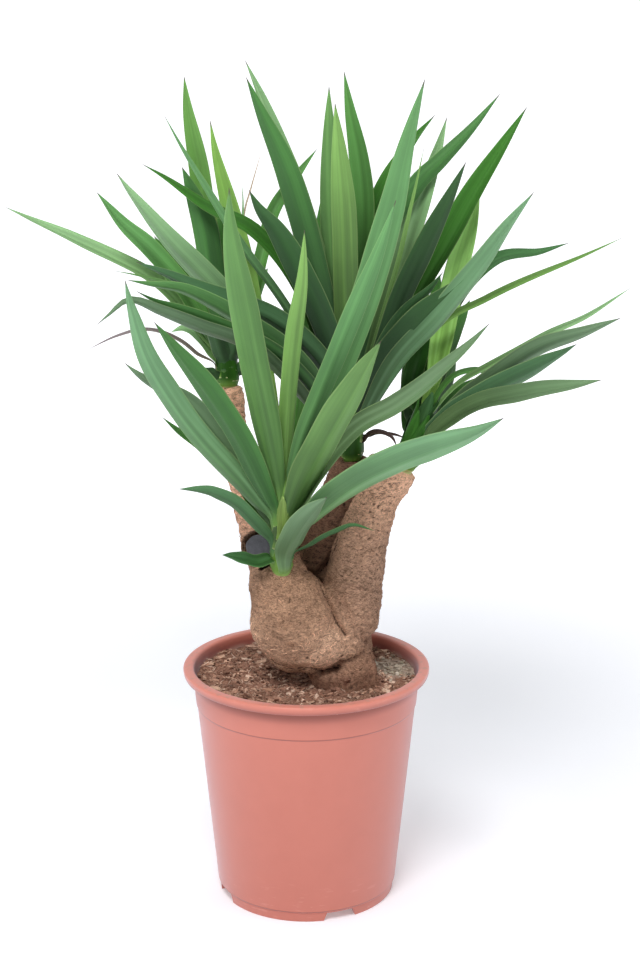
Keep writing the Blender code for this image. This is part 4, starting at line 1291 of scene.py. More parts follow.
paths = {name: limb_path(limb, 2) for name, limb in TRUNK_LIMBS.items()}
hollow = trunk_bm.verts.layers.float.new("hollow")
tint = trunk_bm.verts.layers.float_color.new("tint")
for vert in trunk_bm.verts:
    vert[tint] = limb_tone(vert.co, paths)
    vert[hollow] = hollow_of(vert, crack.get(vert, 0.0))
trunk = piece_from(trunk_bm, "trunk_bark")
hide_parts("trunk")
print("Trunk:", len(trunk.data.polygons), "faces after its relief")

# %% [markdown]
# A real trunk's outline is never clean: shreds of old bark stand off it everywhere. They are stamped like
# the soil's fibres, on random faces, round the arms and every way on the bulge, in darker and paler tones.
# The faces are sorted by their place first, because the remesh may number them differently in each run.

# %% Trunk, shreds of bark
SHRED_COUNT = 3600
SHRED_SEED = 5
SHRED_SPREAD = 0.6
SHRED_RISE = (-0.04, 0.16)
SHRED_THICKNESS = (0.00013, 0.00030)
SHRED_LENGTH = (0.0014, 0.0050)
SHRED_LIFT = 0.0001
SHRED_SHADES = (0.55, 0.8, 1.1, 1.35, 1.7)


def make_shreds(surface):
    rng = random.Random(SHRED_SEED)
    faces = [face for face in surface.polygons if face.center.z > SOIL_LEVEL and not is_sawn(face.center)]
    faces.sort(key=lambda face: tuple(face.center))
    tree, marks = limb_tree()
    bm = bmesh.new()
    bm.verts.layers.float_color.new("tint")
    for face in rng.choices(faces, [face.area for face in faces], k=SHRED_COUNT):
        normal = face.normal.copy()
        name = marks[tree.find(face.center)[1]][1]
        grain = Vector((0, 0, 1)) if name in ARMS else noise.noise_vector(face.center * 30)
        lie = Matrix.Rotation(rng.gauss(0, SHRED_SPREAD), 3, normal) @ grain.cross(normal).normalized()
        lie = (lie + normal * rng.uniform(*SHRED_RISE)).normalized()
        side = lie.cross(normal).normalized()
        turn = Matrix((side, lie, side.cross(lie))).transposed().to_4x4()
        thick = rng.uniform(*SHRED_THICKNESS)
        size = Matrix.Diagonal((thick, thick, rng.uniform(*SHRED_LENGTH), 1.0))
        place = Matrix.Translation(face.center + normal * SHRED_LIFT)
        tone = Vector(LIMB_TONES[name]) * rng.choice(SHRED_SHADES)
        shape = rng.choice(TEMPLATES["strand"])
        stamp(bm, shape, place @ turn @ (Matrix.Rotation(-math.pi / 2, 4, "X") @ size), tone)
    return piece_from(bm, "bark_shreds")


shreds = make_shreds(trunk.data)
print("Shreds:", len(shreds.data.polygons), "faces")

# %% [markdown]
# The finish starts from the limb's tint. Patches make it lighter and darker, strands that lie flat make it
# stringy, thin pale fibres cross it, shade is painted nearly black into the hollows that the mesh kept, a
# painted highlight makes what stands proud paler, and the foot is dark where it meets the damp soil.

# %% Trunk, finish
PATCH_SHADES = (0.66, 0.62, 0.60, 1.0), (1.24, 1.24, 1.24, 1.0)
# Paler bark for the pale fibres, and for the painted highlight on what stands proud.
PALE_FIBRE_AND_HIGHLIGHT_SHADE = (1.55, 1.55, 1.50, 1.0)
# The colour of the shade painted into hollows and creases.
HOLLOW_PAINTED_SHADE_TONE = colour(58, 40, 32)
DAMP_FOOT_TONE = colour(96, 68, 54)
DAMP_FOOT_HEIGHT = 0.010


def make_bark():
    material, tree, shader = new_material("bark")
    spot, tint = object_spot(tree), mark(tree, "tint")
    patches = mottle(tree, spot, 34.0, 150.0, *PATCH_SHADES, fine_share=0.5, contrast=2.6)
    tone = blend(tree, 1.0, tint, patches["Color"], "MULTIPLY")
    flat = flattened(tree, spot, 2.2)
    strands = cloud(tree, flat, 260.0, 4.0, 1.6)
    value = fade(tree, strands, 0.32, 0.68, 0.54, 1.52)
    tone = blend(tree, 1.0, tone, joined(tree, value, value, value), "MULTIPLY")
    light = blend(tree, 1.0, tint, PALE_FIBRE_AND_HIGHLIGHT_SHADE, "MULTIPLY")
    pale = maths(tree, "MAXIMUM", fibres(tree, flat, 170.0, 0.030), fibres(tree, spot, 330.0, 0.05))
    tone = blend(tree, times(tree, pale, 0.52), tone, light)
    hollow = mark(tree, "hollow", "Fac")
    # Painted shade: hollows and creases darkened to nearly black.
    tone = blend(tree, fade(tree, hollow, 0.56, 0.92, 0.0, 0.85), tone, HOLLOW_PAINTED_SHADE_TONE)
    # Painted highlight: places that stand proud are made paler.
    tone = blend(tree, fade(tree, hollow, 0.44, 0.20, 0.0, 0.35), tone, light)
    damp = fade(tree, axes(tree, spot)["Z"], SOIL_LEVEL + DAMP_FOOT_HEIGHT, SOIL_LEVEL, 0.0, 0.45)
    tone = blend(tree, damp, tone, DAMP_FOOT_TONE)
    ridges = maths(tree, "ADD", times(tree, pale, 0.5), times(tree, strands, 2.0))
    dress(tree, shader, Base_Color=tone, Roughness=0.9, Specular_IOR_Level=0.25,
          Normal=bump(tree, 0.9, 0.0008, ridges))
    return material


bark = make_bark()
finish_piece(trunk, bark)
finish_piece(shreds, bark)
print("Bark finish:", bark.name)

# %% [markdown]
# ## The sealing wax
# After sawing, the cut is brushed with black wax that dries to a thin uneven cap. Each cap is a low spun
# dome with a rounded edge, pushed a little out of round, then turned to lie on its sawn face. A flat disc
# would do from afar, but the dome's edge catches the light as real wax does.

# %% Wax caps
WAX_THICKNESS = 0.0016
WAX_STEPS = 48
WAX_ROUND_STEPS = 3
WAX_LONGEST_EDGE = 0.002
WAX_RAGGED = 0.05
WAX_RIPPLE = 0.00035
GAP = 0.0003
WAX_PROFILE = [  # share of the radius, share of the thickness, round
    (0.0, 0.0, 0.0), (0.97, 0.0, 0.0004), (1.0, 0.5, 0.0005), (0.93, 1.0, 0.0008), (0.6, 0.92, 0.001),
    (0.3, 0.98, 0.001), (0.0, 1.0, 0.0),
]
WAX_TONES = colour(46, 46, 50), colour(78, 78, 84)


def make_wax(name, saw):
    face, normal = saw_plane(saw)
    middle = seen_at(saw.wax_at, saw.wax_depth)
    middle += normal * (GAP - (middle - face).dot(normal))
    corners = [Corner(saw.wax_radius * out, WAX_THICKNESS * up, bend) for out, up, bend in WAX_PROFILE]
    bm = spun(rounded(corners, WAX_ROUND_STEPS), WAX_STEPS)
    long_edges = [edge for edge in bm.edges if edge.calc_length() > WAX_LONGEST_EDGE]
    bmesh.ops.subdivide_edges(bm, edges=long_edges, cuts=2, use_grid_fill=True)
    for vert in bm.verts:
        ragged = 1 + WAX_RAGGED * noise.noise(vert.co.normalized() * 2.2 + Vector((saw.depth * 90, 0, 0)))
        vert.co.x *= ragged
        vert.co.y *= ragged
        if vert.co.z > WAX_THICKNESS * 0.8:
            vert.co.z += bumps(vert.co, WAX_RIPPLE, 260)
    bm.transform(Matrix.Translation(middle) @ normal.to_track_quat("Z", "Y").to_matrix().to_4x4())
    cap = piece_from(bm, name + "_cap")
    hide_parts(name)
    return cap


def make_wax_finish():
    material, tree, shader = new_material("black_wax")
    spot = object_spot(tree)
    wax = mottle(tree, spot, 120.0, 700.0, *WAX_TONES, contrast=2.0)
    dress(tree, shader, Base_Color=wax["Color"], Roughness=0.5,
          Normal=bump(tree, 0.35, 0.0005, cloud(tree, spot, 420.0, 4.0)))
    return material


wax_finish = make_wax_finish()
for name, saw in SAWS.items():
    finish_piece(make_wax(name, saw), wax_finish)
print("Wax caps:", len(SAWS))

# %% [markdown]
# ## The leaves, where they are
# Each leaf is written down by its tip and the pixels that its midrib passes on the way to its root, the
# depth of its tip, the width it shows in millimetres, where on the stem it grows, its tone, and how many
# millimetres it bows to the back. The frame's heads were laid from nearly the same values, so each fine
# leaf lies where its plain solid does. The front shoot comes first: short leaves low down, and the tallest
# near its growing point.

# %% Leaves of the front shoot
Leaf = namedtuple("Leaf", "tip via depth width at tone bow", defaults=("rich", 0))
Head = namedtuple("Head", "foot foot_depth top top_depth radius top_radius leaves hidden")
FRONT_LEAVES = {
    "tall": Leaf((229, 188), [(231, 240), (249, 341), (268, 433), (277, 480)], -0.21, 28, 0.8, "grass"),
    "young": Leaf((304.5, 230), [(302, 280), (294, 335), (289, 390), (286, 440)], -0.14, 17, 1.0, "fresh"),
    "arched_left": Leaf((125, 280), [(131, 310), (146, 358), (172, 402), (205, 445), (255, 500)],
                        -0.15, 23, 0.5, "painted_sheen"),
    "under_left": Leaf((124.5, 363), [(145, 380), (185, 402), (212, 432), (250, 485)],
                       -0.09, 21, 0.35, "grey"),
    "low_left": Leaf((162, 417), [(180, 433), (205, 451), (245, 490)], -0.05, 14, 0.2, "green"),
    "broad_left": Leaf((154, 322), [(177, 352), (212, 398), (240, 442), (262, 487)], -0.19, 23, 0.6, "rich"),
    "dark_left": Leaf((178.6, 489), [(200, 490.5), (216, 494), (240, 508), (265, 535)],
                      -0.115, 13, 0.1, "shade"),
    "stub_left": Leaf((222, 555), [(238, 559), (256, 563)], -0.085, 12, 0.05, "shade"),
    "stub_right": Leaf((327, 497), [(316, 508), (301, 527), (289, 549)], -0.125, 23, -0.12, "grey", -6),
    "thin_right": Leaf((375, 531), [(354, 525.5), (337, 531), (314, 543), (299, 556)],
                       -0.105, 5, 0.05, "deep"),
    "low_right": Leaf((504, 418), [(470, 437), (430, 452), (395, 466), (355, 486), (318, 514)],
                      -0.22, 27, 0.3, "painted_sheen"),
    "long_right": Leaf((490, 323), [(465, 350), (430, 382), (395, 408), (355, 431), (318, 474)],
                       -0.13, 19, 0.4, "grey"),
    "broad_right": Leaf((381, 341), [(366, 368), (346, 405), (326, 440), (304, 482)],
                        -0.18, 30, 0.55, "olive"),
    "great": Leaf((425, 79), [(406, 150), (391, 215), (366, 298), (335, 378), (306, 450)],
                  -0.10, 29, 0.9, "blue"),
    "great_inner": Leaf((396, 200), [(379, 252), (354, 315), (322, 393), (300, 450)],
                        -0.155, 20, 0.75, "blue"),
    "back_left": Leaf((210, 120), [(216, 155), (231, 215), (245, 280), (262, 380)],
                      0.085, 26, 0.7, "fresh", 35),
    "back_right": Leaf((330, 160), [(321, 215), (314, 265), (308, 330), (296, 430)],
                       0.09, 13, 0.85, "green", 62),
}
FRONT_SHOOT = Head((281, 584), -0.046, (283, 500), -0.066, 0.0105, 0.006, FRONT_LEAVES, {})
print("Front shoot:", len(FRONT_SHOOT.leaves), "leaves shown and", len(FRONT_SHOOT.hidden), "hidden")

# %% [markdown]
# The left head stands on the arm that leans back. Leaves that the photograph hides are listed second for
# this and the next two heads, laid behind the ones it shows, so that the plant is whole from every side.
# Four short leaves close the head's foot.

# %% Leaves of the left head
LEFT_LEAVES = {
    "long": Leaf((5, 207), [(50, 229), (115, 259), (160, 285), (196, 325)], 0.10, 14, 0.2, "pale"),
    "upper": Leaf((96.5, 192), [(120, 222), (148, 249), (180, 285), (208, 330)], 0.06, 20, 0.5, "blue"),
    "tall": Leaf((184, 76), [(188, 112), (198, 165), (207, 225), (216, 290)], 0.11, 22, 0.9, "grass"),
    "dark": Leaf((182, 167), [(192, 192), (205, 228), (213, 275)], 0.035, 27, 0.8, "rich"),
    "drooping": Leaf((87, 350), [(118, 336), (150, 330), (180, 341), (206, 362)], 0.02, 4, 0.05, "dusk"),
    "pale_stub": Leaf((171, 332), [(185, 329), (202, 340)], 0.065, 12, 0.1, "pale"),
    "thin_a": Leaf((263, 146), [(251, 188), (244, 215), (238, 270)], 0.13, 2.2, 0.95, "straw"),
    "thin_b": Leaf((242, 183), [(243, 210), (240, 270)], 0.10, 3.5, 1.0, "pale"),
    "to_right": Leaf((317, 149), [(300, 172), (275, 209), (262, 255), (248, 310)], 0.16, 15, 0.9, "green"),
    "low_a": Leaf((199, 368), [(212, 376)], 0.035, 12, -0.1, "deep"),
    "low_b": Leaf((254, 346), [(243, 368)], 0.045, 13, -0.05, "ink"),
    "low_c": Leaf((211, 318), [(220, 350)], 0.015, 20, 0.1, "ink"),
    "low_d": Leaf((242, 322), [(235, 352)], 0.020, 19, 0.2, "deep"),
}
LEFT_HIDDEN = {
    "behind_a": Leaf((197, 150), [(212, 260)], 0.17, 22, 0.85),
    "behind_b": Leaf((224, 192), [(226, 280)], 0.21, 25, 0.7),
    "behind_c": Leaf((268, 268), [(246, 310)], 0.20, 24, 0.5),
    "behind_d": Leaf((154, 236), [(188, 290)], 0.16, 22, 0.56),
    "behind_e": Leaf((232, 262), [(229, 315)], 0.22, 25, 0.44),
    "behind_f": Leaf((188, 278), [(208, 325)], 0.20, 24, 0.3),
    "behind_g": Leaf((205, 318), [(217, 345)], 0.19, 22, 0.1),
    "behind_h": Leaf((262, 312), [(245, 340)], 0.19, 22, 0.15),
}
LEFT_HEAD = Head((228, 393), 0.054, (226, 336), 0.060, 0.0108, 0.007, LEFT_LEAVES, LEFT_HIDDEN)
print("Left head:", len(LEFT_HEAD.leaves), "leaves shown and", len(LEFT_HEAD.hidden), "hidden")

# %% [markdown]
# The middle head is the fullest. Its lower leaves cross behind the front shoot, and two dry ones curl at
# its foot.

# %% Leaves of the middle head
MIDDLE_LEAVES = {
    "pale_left": Leaf((116.5, 173), [(133, 197), (174, 247), (222, 297), (275, 348), (325, 405)],
                      -0.02, 25, 0.3, "pale"),
    "left_a": Leaf((136, 262), [(170, 276), (208, 295), (272, 320), (318, 360), (342, 410)],
                   -0.04, 21, 0.2, "shade"),
    "left_b": Leaf((127, 280), [(150, 285), (185, 291), (228, 314), (285, 350), (330, 405)],
                   -0.08, 17, 0.12, "green"),
    "left_c": Leaf((136, 291), [(158, 303), (188, 314), (230, 332), (285, 362), (330, 415)],
                   -0.115, 15, 0.05, "rich"),
    "left_drooping": Leaf((97, 325), [(109, 315), (130, 301), (160, 312), (200, 328), (262, 356), (326, 425)],
                          -0.15, 14, 0.0, "grey"),
    "left_thin": Leaf((114, 271), [(135, 275), (170, 284), (228, 305), (290, 348)], -0.045, 6, 0.25, "grass"),
    "edge_on": Leaf((164, 115), [(183, 150), (210, 195), (243, 248), (288, 310), (330, 390)],
                    -0.02, 9, 0.5, "blue"),
    "blue_left": Leaf((142, 164), [(165, 178), (205, 206), (255, 233), (300, 290), (334, 385)],
                      0.035, 15, 0.6, "rich"),
    "dark_tall": Leaf((246, 77), [(262, 115), (283, 162), (296, 200), (312, 258), (336, 360)],
                      -0.02, 27, 0.85, "rich"),
    "pale_tall": Leaf((245, 60), [(262, 98), (281, 147), (301, 203), (326, 290)], 0.03, 20, 0.95, "pale"),
    "dark_left": Leaf((249, 190), [(259, 209), (276, 232), (298, 272), (326, 335)], -0.055, 27, 0.65, "deep"),
    "behind_bright": Leaf((329, 86), [(329, 125), (331, 190), (333, 245), (338, 310)],
                          0.02, 24, 1.0, "grass"),
    "bright": Leaf((335, 103), [(339, 150), (344, 215), (346, 290), (348, 370)], -0.03, 26, 0.95, "fresh"),
    "dark_right": Leaf((344, 71), [(350, 110), (359, 160), (363, 215), (359, 300)], 0.05, 24, 0.9, "green"),
    "in_shade": Leaf((435, 115), [(412, 142), (385, 185), (366, 245), (357, 330)], 0.09, 20, 0.8, "rich"),
    "pale_right": Leaf((447, 117), [(438, 150), (422, 200), (402, 258), (383, 318), (362, 390)],
                       0.03, 23, 0.7, "pale"),
    "thin_right": Leaf((424, 148), [(417, 180), (409, 215), (396, 270), (372, 350)], 0.00, 5, 0.75, "fresh"),
    "fan_right": Leaf((500, 94), [(470, 130), (441, 160), (415, 187), (386, 238), (364, 340)],
                      0.01, 20, 0.55, "rich"),
    "outer_right": Leaf((527, 107), [(500, 150), (472, 195), (446, 242), (408, 310), (370, 400)],
                        0.02, 24, 0.45, "rich"),
    "dark_outer": Leaf((466, 162), [(448, 200), (424, 250), (401, 300), (374, 380)], -0.035, 23, 0.5, "ink"),
    "small_dark": Leaf((443, 272), [(430, 289), (404, 315), (378, 358)], -0.03, 15, 0.35, "deep"),
    "broad_dark": Leaf((469, 275), [(450, 292), (418, 325), (390, 358), (365, 405)], -0.08, 29, 0.25, "ink"),
    "folded": Leaf((534, 192), [(513, 220), (479, 268), (440, 317), (400, 360), (366, 415)],
                   -0.135, 21, 0.1, "painted_sheen"),
    "olive_thin": Leaf((623, 237.5), [(584, 256), (532, 278), (486, 300), (440, 325), (385, 385)],
                       -0.05, 7, 0.2, "olive"),
    "dry_curl": Leaf((397, 447), [(391, 437), (377, 432), (367, 437), (361, 449)], 0.005, 5, 0.1, "dry"),
    "dry_wisp": Leaf((408, 439), [(392, 434.5), (375, 434), (363, 441)], 0.015, 3.5, 0.2, "dry"),
}
MIDDLE_HIDDEN = {
    "behind_a": Leaf((272, 152), [(318, 280)], 0.12, 24, 0.9),
    "behind_b": Leaf((354, 138), [(353, 280)], 0.14, 25, 1.0),
    "behind_c": Leaf((404, 172), [(372, 290)], 0.16, 25, 0.85),
    "behind_d": Leaf((331, 195), [(342, 300)], 0.20, 26, 0.7),
    "behind_e": Leaf((452, 218), [(398, 310)], 0.17, 24, 0.5),
    "behind_f": Leaf((300, 255), [(330, 340)], 0.20, 26, 0.5),
    "behind_g": Leaf((372, 245), [(360, 330)], 0.21, 27, 0.55),
    "behind_h": Leaf((415, 292), [(380, 355)], 0.21, 26, 0.3),
    "behind_i": Leaf((332, 302), [(342, 360)], 0.21, 25, 0.25),
    "behind_j": Leaf((378, 322), [(362, 370)], 0.20, 24, 0.15),
}
MIDDLE_HEAD = Head((352, 468), 0.034, (350, 390), 0.022, 0.0115, 0.007, MIDDLE_LEAVES, MIDDLE_HIDDEN)
print("Middle head:", len(MIDDLE_HEAD.leaves), "leaves shown and", len(MIDDLE_HEAD.hidden), "hidden")

# %% [markdown]
# The right head leans out over the pot's edge, with its long leaves spread to the right.

# %% Leaves of the right head
RIGHT_LEAVES = {
    "bright": Leaf((480, 178), [(470, 225), (455, 278), (441, 345), (430, 400)], 0.05, 24, 1.0, "lime"),
    "outer_dark": Leaf((569, 243), [(540, 252), (497, 260), (458, 300), (434, 370)], 0.075, 14, 0.8, "shade"),
    "pale_long": Leaf((630.5, 288), [(588, 316), (546, 336), (490, 366), (452, 390)], -0.055, 7, 0.5, "pale"),
    "bent": Leaf((531, 375.6), [(500, 376), (472, 371), (446, 384)], -0.005, 6, 0.45, "green"),
    "long": Leaf((621, 318), [(585, 333), (545, 347), (505, 371), (460, 405)], -0.075, 18, 0.35, "grey"),
    "middle": Leaf((577, 344), [(552, 360), (515, 380), (472, 403), (442, 424)], -0.09, 20, 0.25, "shade"),
    "low": Leaf((602, 380), [(565, 388), (525, 395), (480, 405), (446, 424)], -0.14, 18, 0.05, "grey"),
    "inner_dark": Leaf((436, 300), [(424, 340), (412, 385), (412, 425)], 0.05, 21, 0.6, "deep", 10),
}
RIGHT_HIDDEN = {
    "behind_a": Leaf((467, 240), [(447, 320)], 0.13, 23, 0.95),
    "behind_b": Leaf((440, 275), [(430, 340)], 0.17, 25, 0.8),
    "behind_c": Leaf((470, 300), [(446, 350)], 0.20, 25, 0.6),
    "behind_d": Leaf((447, 318), [(434, 365)], 0.21, 26, 0.45),
    "behind_e": Leaf((420, 325), [(416, 375)], 0.165, 24, 0.3),
    "behind_f": Leaf((505, 372), [(462, 395)], 0.14, 20, 0.25),
    "behind_g": Leaf((456, 362), [(440, 395)], 0.20, 24, 0.15),
    "behind_h": Leaf((406, 350), [(410, 390)], 0.17, 20, 0.1),
}
RIGHT_HEAD = Head((402, 475), 0.006, (427, 406), 0.004, 0.0120, 0.008, RIGHT_LEAVES, RIGHT_HIDDEN)
print("Right head:", len(RIGHT_HEAD.leaves), "leaves shown and", len(RIGHT_HEAD.hidden), "hidden")

HEADS = {
    "front_shoot": FRONT_SHOOT, "left_head": LEFT_HEAD, "middle_head": MIDDLE_HEAD, "right_head": RIGHT_HEAD,
}
print("Leaves:", sum(len(head.leaves) + len(head.hidden) for head in HEADS.values()))

# %% [markdown]
# ## One blade
# A yucca leaf is a sword: a broad foot that clasps the stem, a narrow neck, widest past its middle, and
# drawn to a hard point. Its path comes first. It is smooth through the leaf's points, and its depth goes
# evenly from the stem to the tip, with a bow to the back for the leaves that need one to stay clear of the
# next head.

# %% Blade, its path
STEM_LOW, STEM_SPAN = 0.22, 0.70
LEAF_SPACING = 14


def head_path(head):
    return seen_at(head.foot, head.foot_depth), seen_at(head.top, head.top_depth)


def leaf_path(head, leaf):
    """The midrib in space, from its root on the stem to its tip, as closely spaced points."""
    foot, top = head_path(head)
    root = foot.lerp(top, STEM_LOW + STEM_SPAN * leaf.at)
    pixels = [*reversed(leaf.via), leaf.tip]
    lengths, previous = [], pixel_of(root)
    for pixel in pixels:
        lengths.append((lengths[-1] if lengths else 0.0) + math.dist(previous, pixel))
        previous = pixel
    points = [root]
    for pixel, length in zip(pixels, lengths):
        share = length / lengths[-1]
        bow = leaf.bow / 1000 * 4 * share * (1 - share)
        points.append(seen_at(pixel, root.y + (leaf.depth - root.y) * share + bow))
    return smooth_path(points, LEAF_SPACING)


def length_of(path):
    return sum((other - one).length for one, other in zip(path, path[1:]))


def along(path, share):
    """The point at this share of the path's length, and the direction there."""
    lengths = [0.0]
    for one, other in zip(path, path[1:]):
        lengths.append(lengths[-1] + (other - one).length)
    goal = share * lengths[-1]
    index = next((i for i in range(len(path) - 1) if lengths[i + 1] >= goal), len(path) - 2)
    span = max(lengths[index + 1] - lengths[index], 1e-9)
    point = path[index].lerp(path[index + 1], (goal - lengths[index]) / span)
    return point, (path[min(index + 2, len(path) - 1)] - path[max(index - 1, 0)]).normalized()


great = leaf_path(FRONT_SHOOT, FRONT_SHOOT.leaves["great"])
print("The front shoot's great leaf is", round(length_of(great) * 100), "cm long")

# %% [markdown]
# The blade's width is a share of its widest, by a smooth step above the foot and a power towards the tip. A
# leaf that the photograph shows is turned about its length so that it keeps the width that is seen, and one
# that is hidden lies level, as leaves do.

# %% Blade, its width and turn
WIDEST_AT = 0.62
ROOT_SHARE = 0.42
RISE_SHARE = 0.34
TIP_POWER = 1.7
MOST_TURN = math.radians(44)


def blade_width(share):
    """The width of a sword-shaped blade as a share of its widest, from its root at 0 to its tip at 1."""
    if share < WIDEST_AT:
        rise = min(share / RISE_SHARE, 1.0)
        return ROOT_SHARE + (1 - ROOT_SHARE) * rise * rise * (3 - 2 * rise)
    return 1 - ((share - WIDEST_AT) / (1 - WIDEST_AT)) ** TIP_POWER


def natural_turn(heading, towards_eye):
    """How far a blade that lies level across its rise is turned from one that faces the eye."""
    across = heading.cross(towards_eye).normalized()
    level = heading.cross(Vector((0, 0, 1))).normalized()
    if across.dot(level) < 0:
        level = -level
    return math.atan2(heading.dot(across.cross(level)), across.dot(level))


def shown_turn(heading, towards_eye):
    """The turn of a leaf that is shown: steep leaves keep their face to the eye, low ones lie flatter."""
    natural = natural_turn(heading, towards_eye)
    return math.copysign(min(abs(natural), MOST_TURN) * (1 - heading.z**4), natural)


print("Widths at the foot and near the tip:", [round(blade_width(share), 2) for share in (0.0, 0.95)])

# %% [markdown]
# A flat strip with Solidify has square edges that look like card. Here a lens shaped ring is extruded along
# the midrib, so that the margins come out fine. The cross-section is a shallow gutter with soft lengthwise
# folds, the margins are a little wavy, and the whole blade twists by a few degrees from root to tip.

# %% Blade, its cross-sections
BLADE_SIDES = 22
BLADE_SECTIONS = 44
BLADE_THICKNESS = 0.0011
ROOT_THICKNESS = 0.0034
THICK_TO = 0.22
FULL_THICK_REACH = 0.004
LEAST_WIDTH = 0.0003
GUTTER = math.radians(24)
ROOT_CURL = math.radians(62)
CURL_ENDS_AT = 0.16
FOLD_DEPTH = 0.00032
FOLD_DRIFT = 3
FULL_FOLD_REACH = 0.008
WAVE = 0.0006
WAVES = 21
MOST_TWIST = math.radians(24)
Folds = namedtuple("Folds", "phase count drift")


def blade_sections(path, turn, twist):
    """For each share of the blade's length, the centre there, the way across and the way up."""
    middle, heading = along(path, 0.5)
    face = (Matrix.Rotation(turn, 3, heading) @ heading.cross(EYE - middle).normalized()).cross(heading)
    upper = 1 if face.z > 0 else -1
    sections = {}
    for index in range(BLADE_SECTIONS):
        share = index / (BLADE_SECTIONS - 1)
        centre, direction = along(path, share)
        here = turn + twist * (share - WIDEST_AT)
        across = Matrix.Rotation(here, 3, direction) @ direction.cross(EYE - centre).normalized()
        sections[share] = (centre, across, across.cross(direction) * upper)
    return sections


def blade_thickness(share):
    return BLADE_THICKNESS + (ROOT_THICKNESS - BLADE_THICKNESS) * (1 - eased(share / THICK_TO))


def section_point(share, aside, above, reach, folds):
    """How far across and how far up a point of the cross-section lies, from its two shares round the ring."""
    curl = 1 - eased(share / CURL_ENDS_AT)
    flat = Vector((aside * math.cos(GUTTER), abs(aside) * math.sin(GUTTER)))
    bent = Vector((math.sin(ROOT_CURL * aside), 1 - math.cos(ROOT_CURL * aside))) / ROOT_CURL
    across, up = flat.lerp(bent, curl) * reach
    room = min(1.0, reach / FULL_FOLD_REACH)
    fold = math.sin(folds.count * math.pi * aside + folds.phase + folds.drift * share * FOLD_DRIFT)
    up += FOLD_DEPTH * room * fold
    up += WAVE * room * aside * aside * math.sin(share * WAVES + folds.phase) * (1 - curl)
    return across, up + above * blade_thickness(share) / 2 * min(1.0, reach / FULL_THICK_REACH)


print("A blade has", BLADE_SIDES * (BLADE_SECTIONS - 1) + 2, "faces")

# %% [markdown]
# At its foot a leaf doesn't stand on the stem, it wraps round it. So the first few centimetres are laid
# round the stem and sink into it at the very end, and then the blade goes over from this clasp to its free
# shape. The stem is a cone with a narrow foot, and its frame of two directions turns an angle round it into
# a place.

# %% Blade, its clasp round the stem
SEAT_RADIUS = 0.0080
SEAT_SHARE = 0.10
FULL_STEM = 2.4 * SEAT_SHARE
WAIST_SHARE, WAIST = 0.6, 0.85
SHEATH_GAP = 0.0005
CLASP_LENGTH = 0.042
MOST_CLASP = 0.40
MOST_WRAP = 1.7
CLASP_SINK = 0.0045
SINK_SHARE = 0.3
UP_THE_STEM = 0.9
Clasp = namedtuple("Clasp", "stem ends facing hand")


def stem_frame(head):
    """The stem's foot and top, the direction to the viewer's left of it, and the one away from the viewer."""
    foot, top = head_path(head)
    left = (top - foot).cross(FORWARD).normalized()
    return foot, top, left, left.cross(top - foot).normalized()


def stem_radius(head, share):
    stations = [(0.0, SEAT_RADIUS), (SEAT_SHARE, SEAT_RADIUS), (FULL_STEM, head.radius),
                (WAIST_SHARE, head.radius * WAIST), (1.0, head.top_radius)]
    for (low, low_radius), (high, high_radius) in zip(stations, stations[1:]):
        if share <= high:
            return low_radius + (high_radius - low_radius) * eased((share - low) / (high - low))
    return head.top_radius


def round_stem(stem, at, angle, away):
    """The place at this share of the stem's length, this angle round it and this far from its axis."""
    foot, top, left, back = stem
    return foot.lerp(top, at) + (left * math.cos(angle) + back * math.sin(angle)) * away


def clasp_of(head, path, first_across):
    """Where a blade's clasp ends, which way round the stem it faces, and which way its sides run."""
    stem = stem_frame(head)
    _, _, left, back = stem
    length = length_of(path)
    away = along(path, min(CLASP_LENGTH / length, 1.0))[0] - path[0]
    facing = math.atan2(away.dot(back), away.dot(left))
    tangent = back * math.cos(facing) - left * math.sin(facing)
    hand = 1 if tangent.dot(first_across) > 0 else -1
    return Clasp(stem, min(CLASP_LENGTH / length, MOST_CLASP), facing, hand)


def clasped_point(head, clasp, at, share, aside, above, reach):
    """The place of a point of the blade's foot, laid round the stem."""
    sunk = CLASP_SINK * (1 - eased(share / clasp.ends / SINK_SHARE))
    away = stem_radius(head, at) + SHEATH_GAP + blade_thickness(share) * (1 - above) / 2 - sunk
    turned = clasp.facing + clasp.hand * aside * min(reach / away, MOST_WRAP)
    return round_stem(clasp.stem, at, turned, away)


print("The middle stem:", round(stem_radius(MIDDLE_HEAD, WAIST_SHARE) * 2000, 1), "mm thick at its waist")

# %% [markdown]
# The blade puts these together. Each vertex also keeps marks for the finish: how far across and along the
# blade it lies, whether it is on the underside, the leaf's own tone, how dark the shade painted near its foot
# is, and a number that differs from leaf to leaf. The tones run from the young leaves' yellow green to a blue
# green that paints in the light of the sky, a silvery green that paints in a pale sheen, and the nearly black
# greens that paint in the shade deep in the heads.

# %% Blade, its mesh
# Some tones are painted light and shade: the silvery tone is a painted sheen, the blue green is painted sky
# light, and the darkest greens are painted shade.
TONES = {
    "fresh": colour(111, 154, 70), "grass": colour(86, 130, 60), "green": colour(74, 122, 58),
    "rich": colour(52, 102, 34), "deep": colour(36, 76, 24), "shade": colour(58, 98, 54),
    "blue": colour(84, 133, 72), "pale": colour(112, 150, 98), "grey": colour(90, 118, 80),
    "olive": colour(92, 132, 62), "sheath": colour(140, 172, 92), "dusk": colour(116, 108, 104),
    "dry": colour(74, 58, 50), "painted_sheen": colour(99, 143, 94), "ink": colour(30, 66, 16),
    "lime": colour(134, 184, 96), "straw": colour(170, 156, 130),
}
WIDTH_MM = 1000
LIGHTNESS = (0.94, 1.06)
FOLD_COUNT = (1.4, 2.4)
SEED_STEP = 0.137


def underside(above):
    """The mark of the lower half of a cross-section, where the finish is duller."""
    return 1.0 if above < -0.001 else 0.0


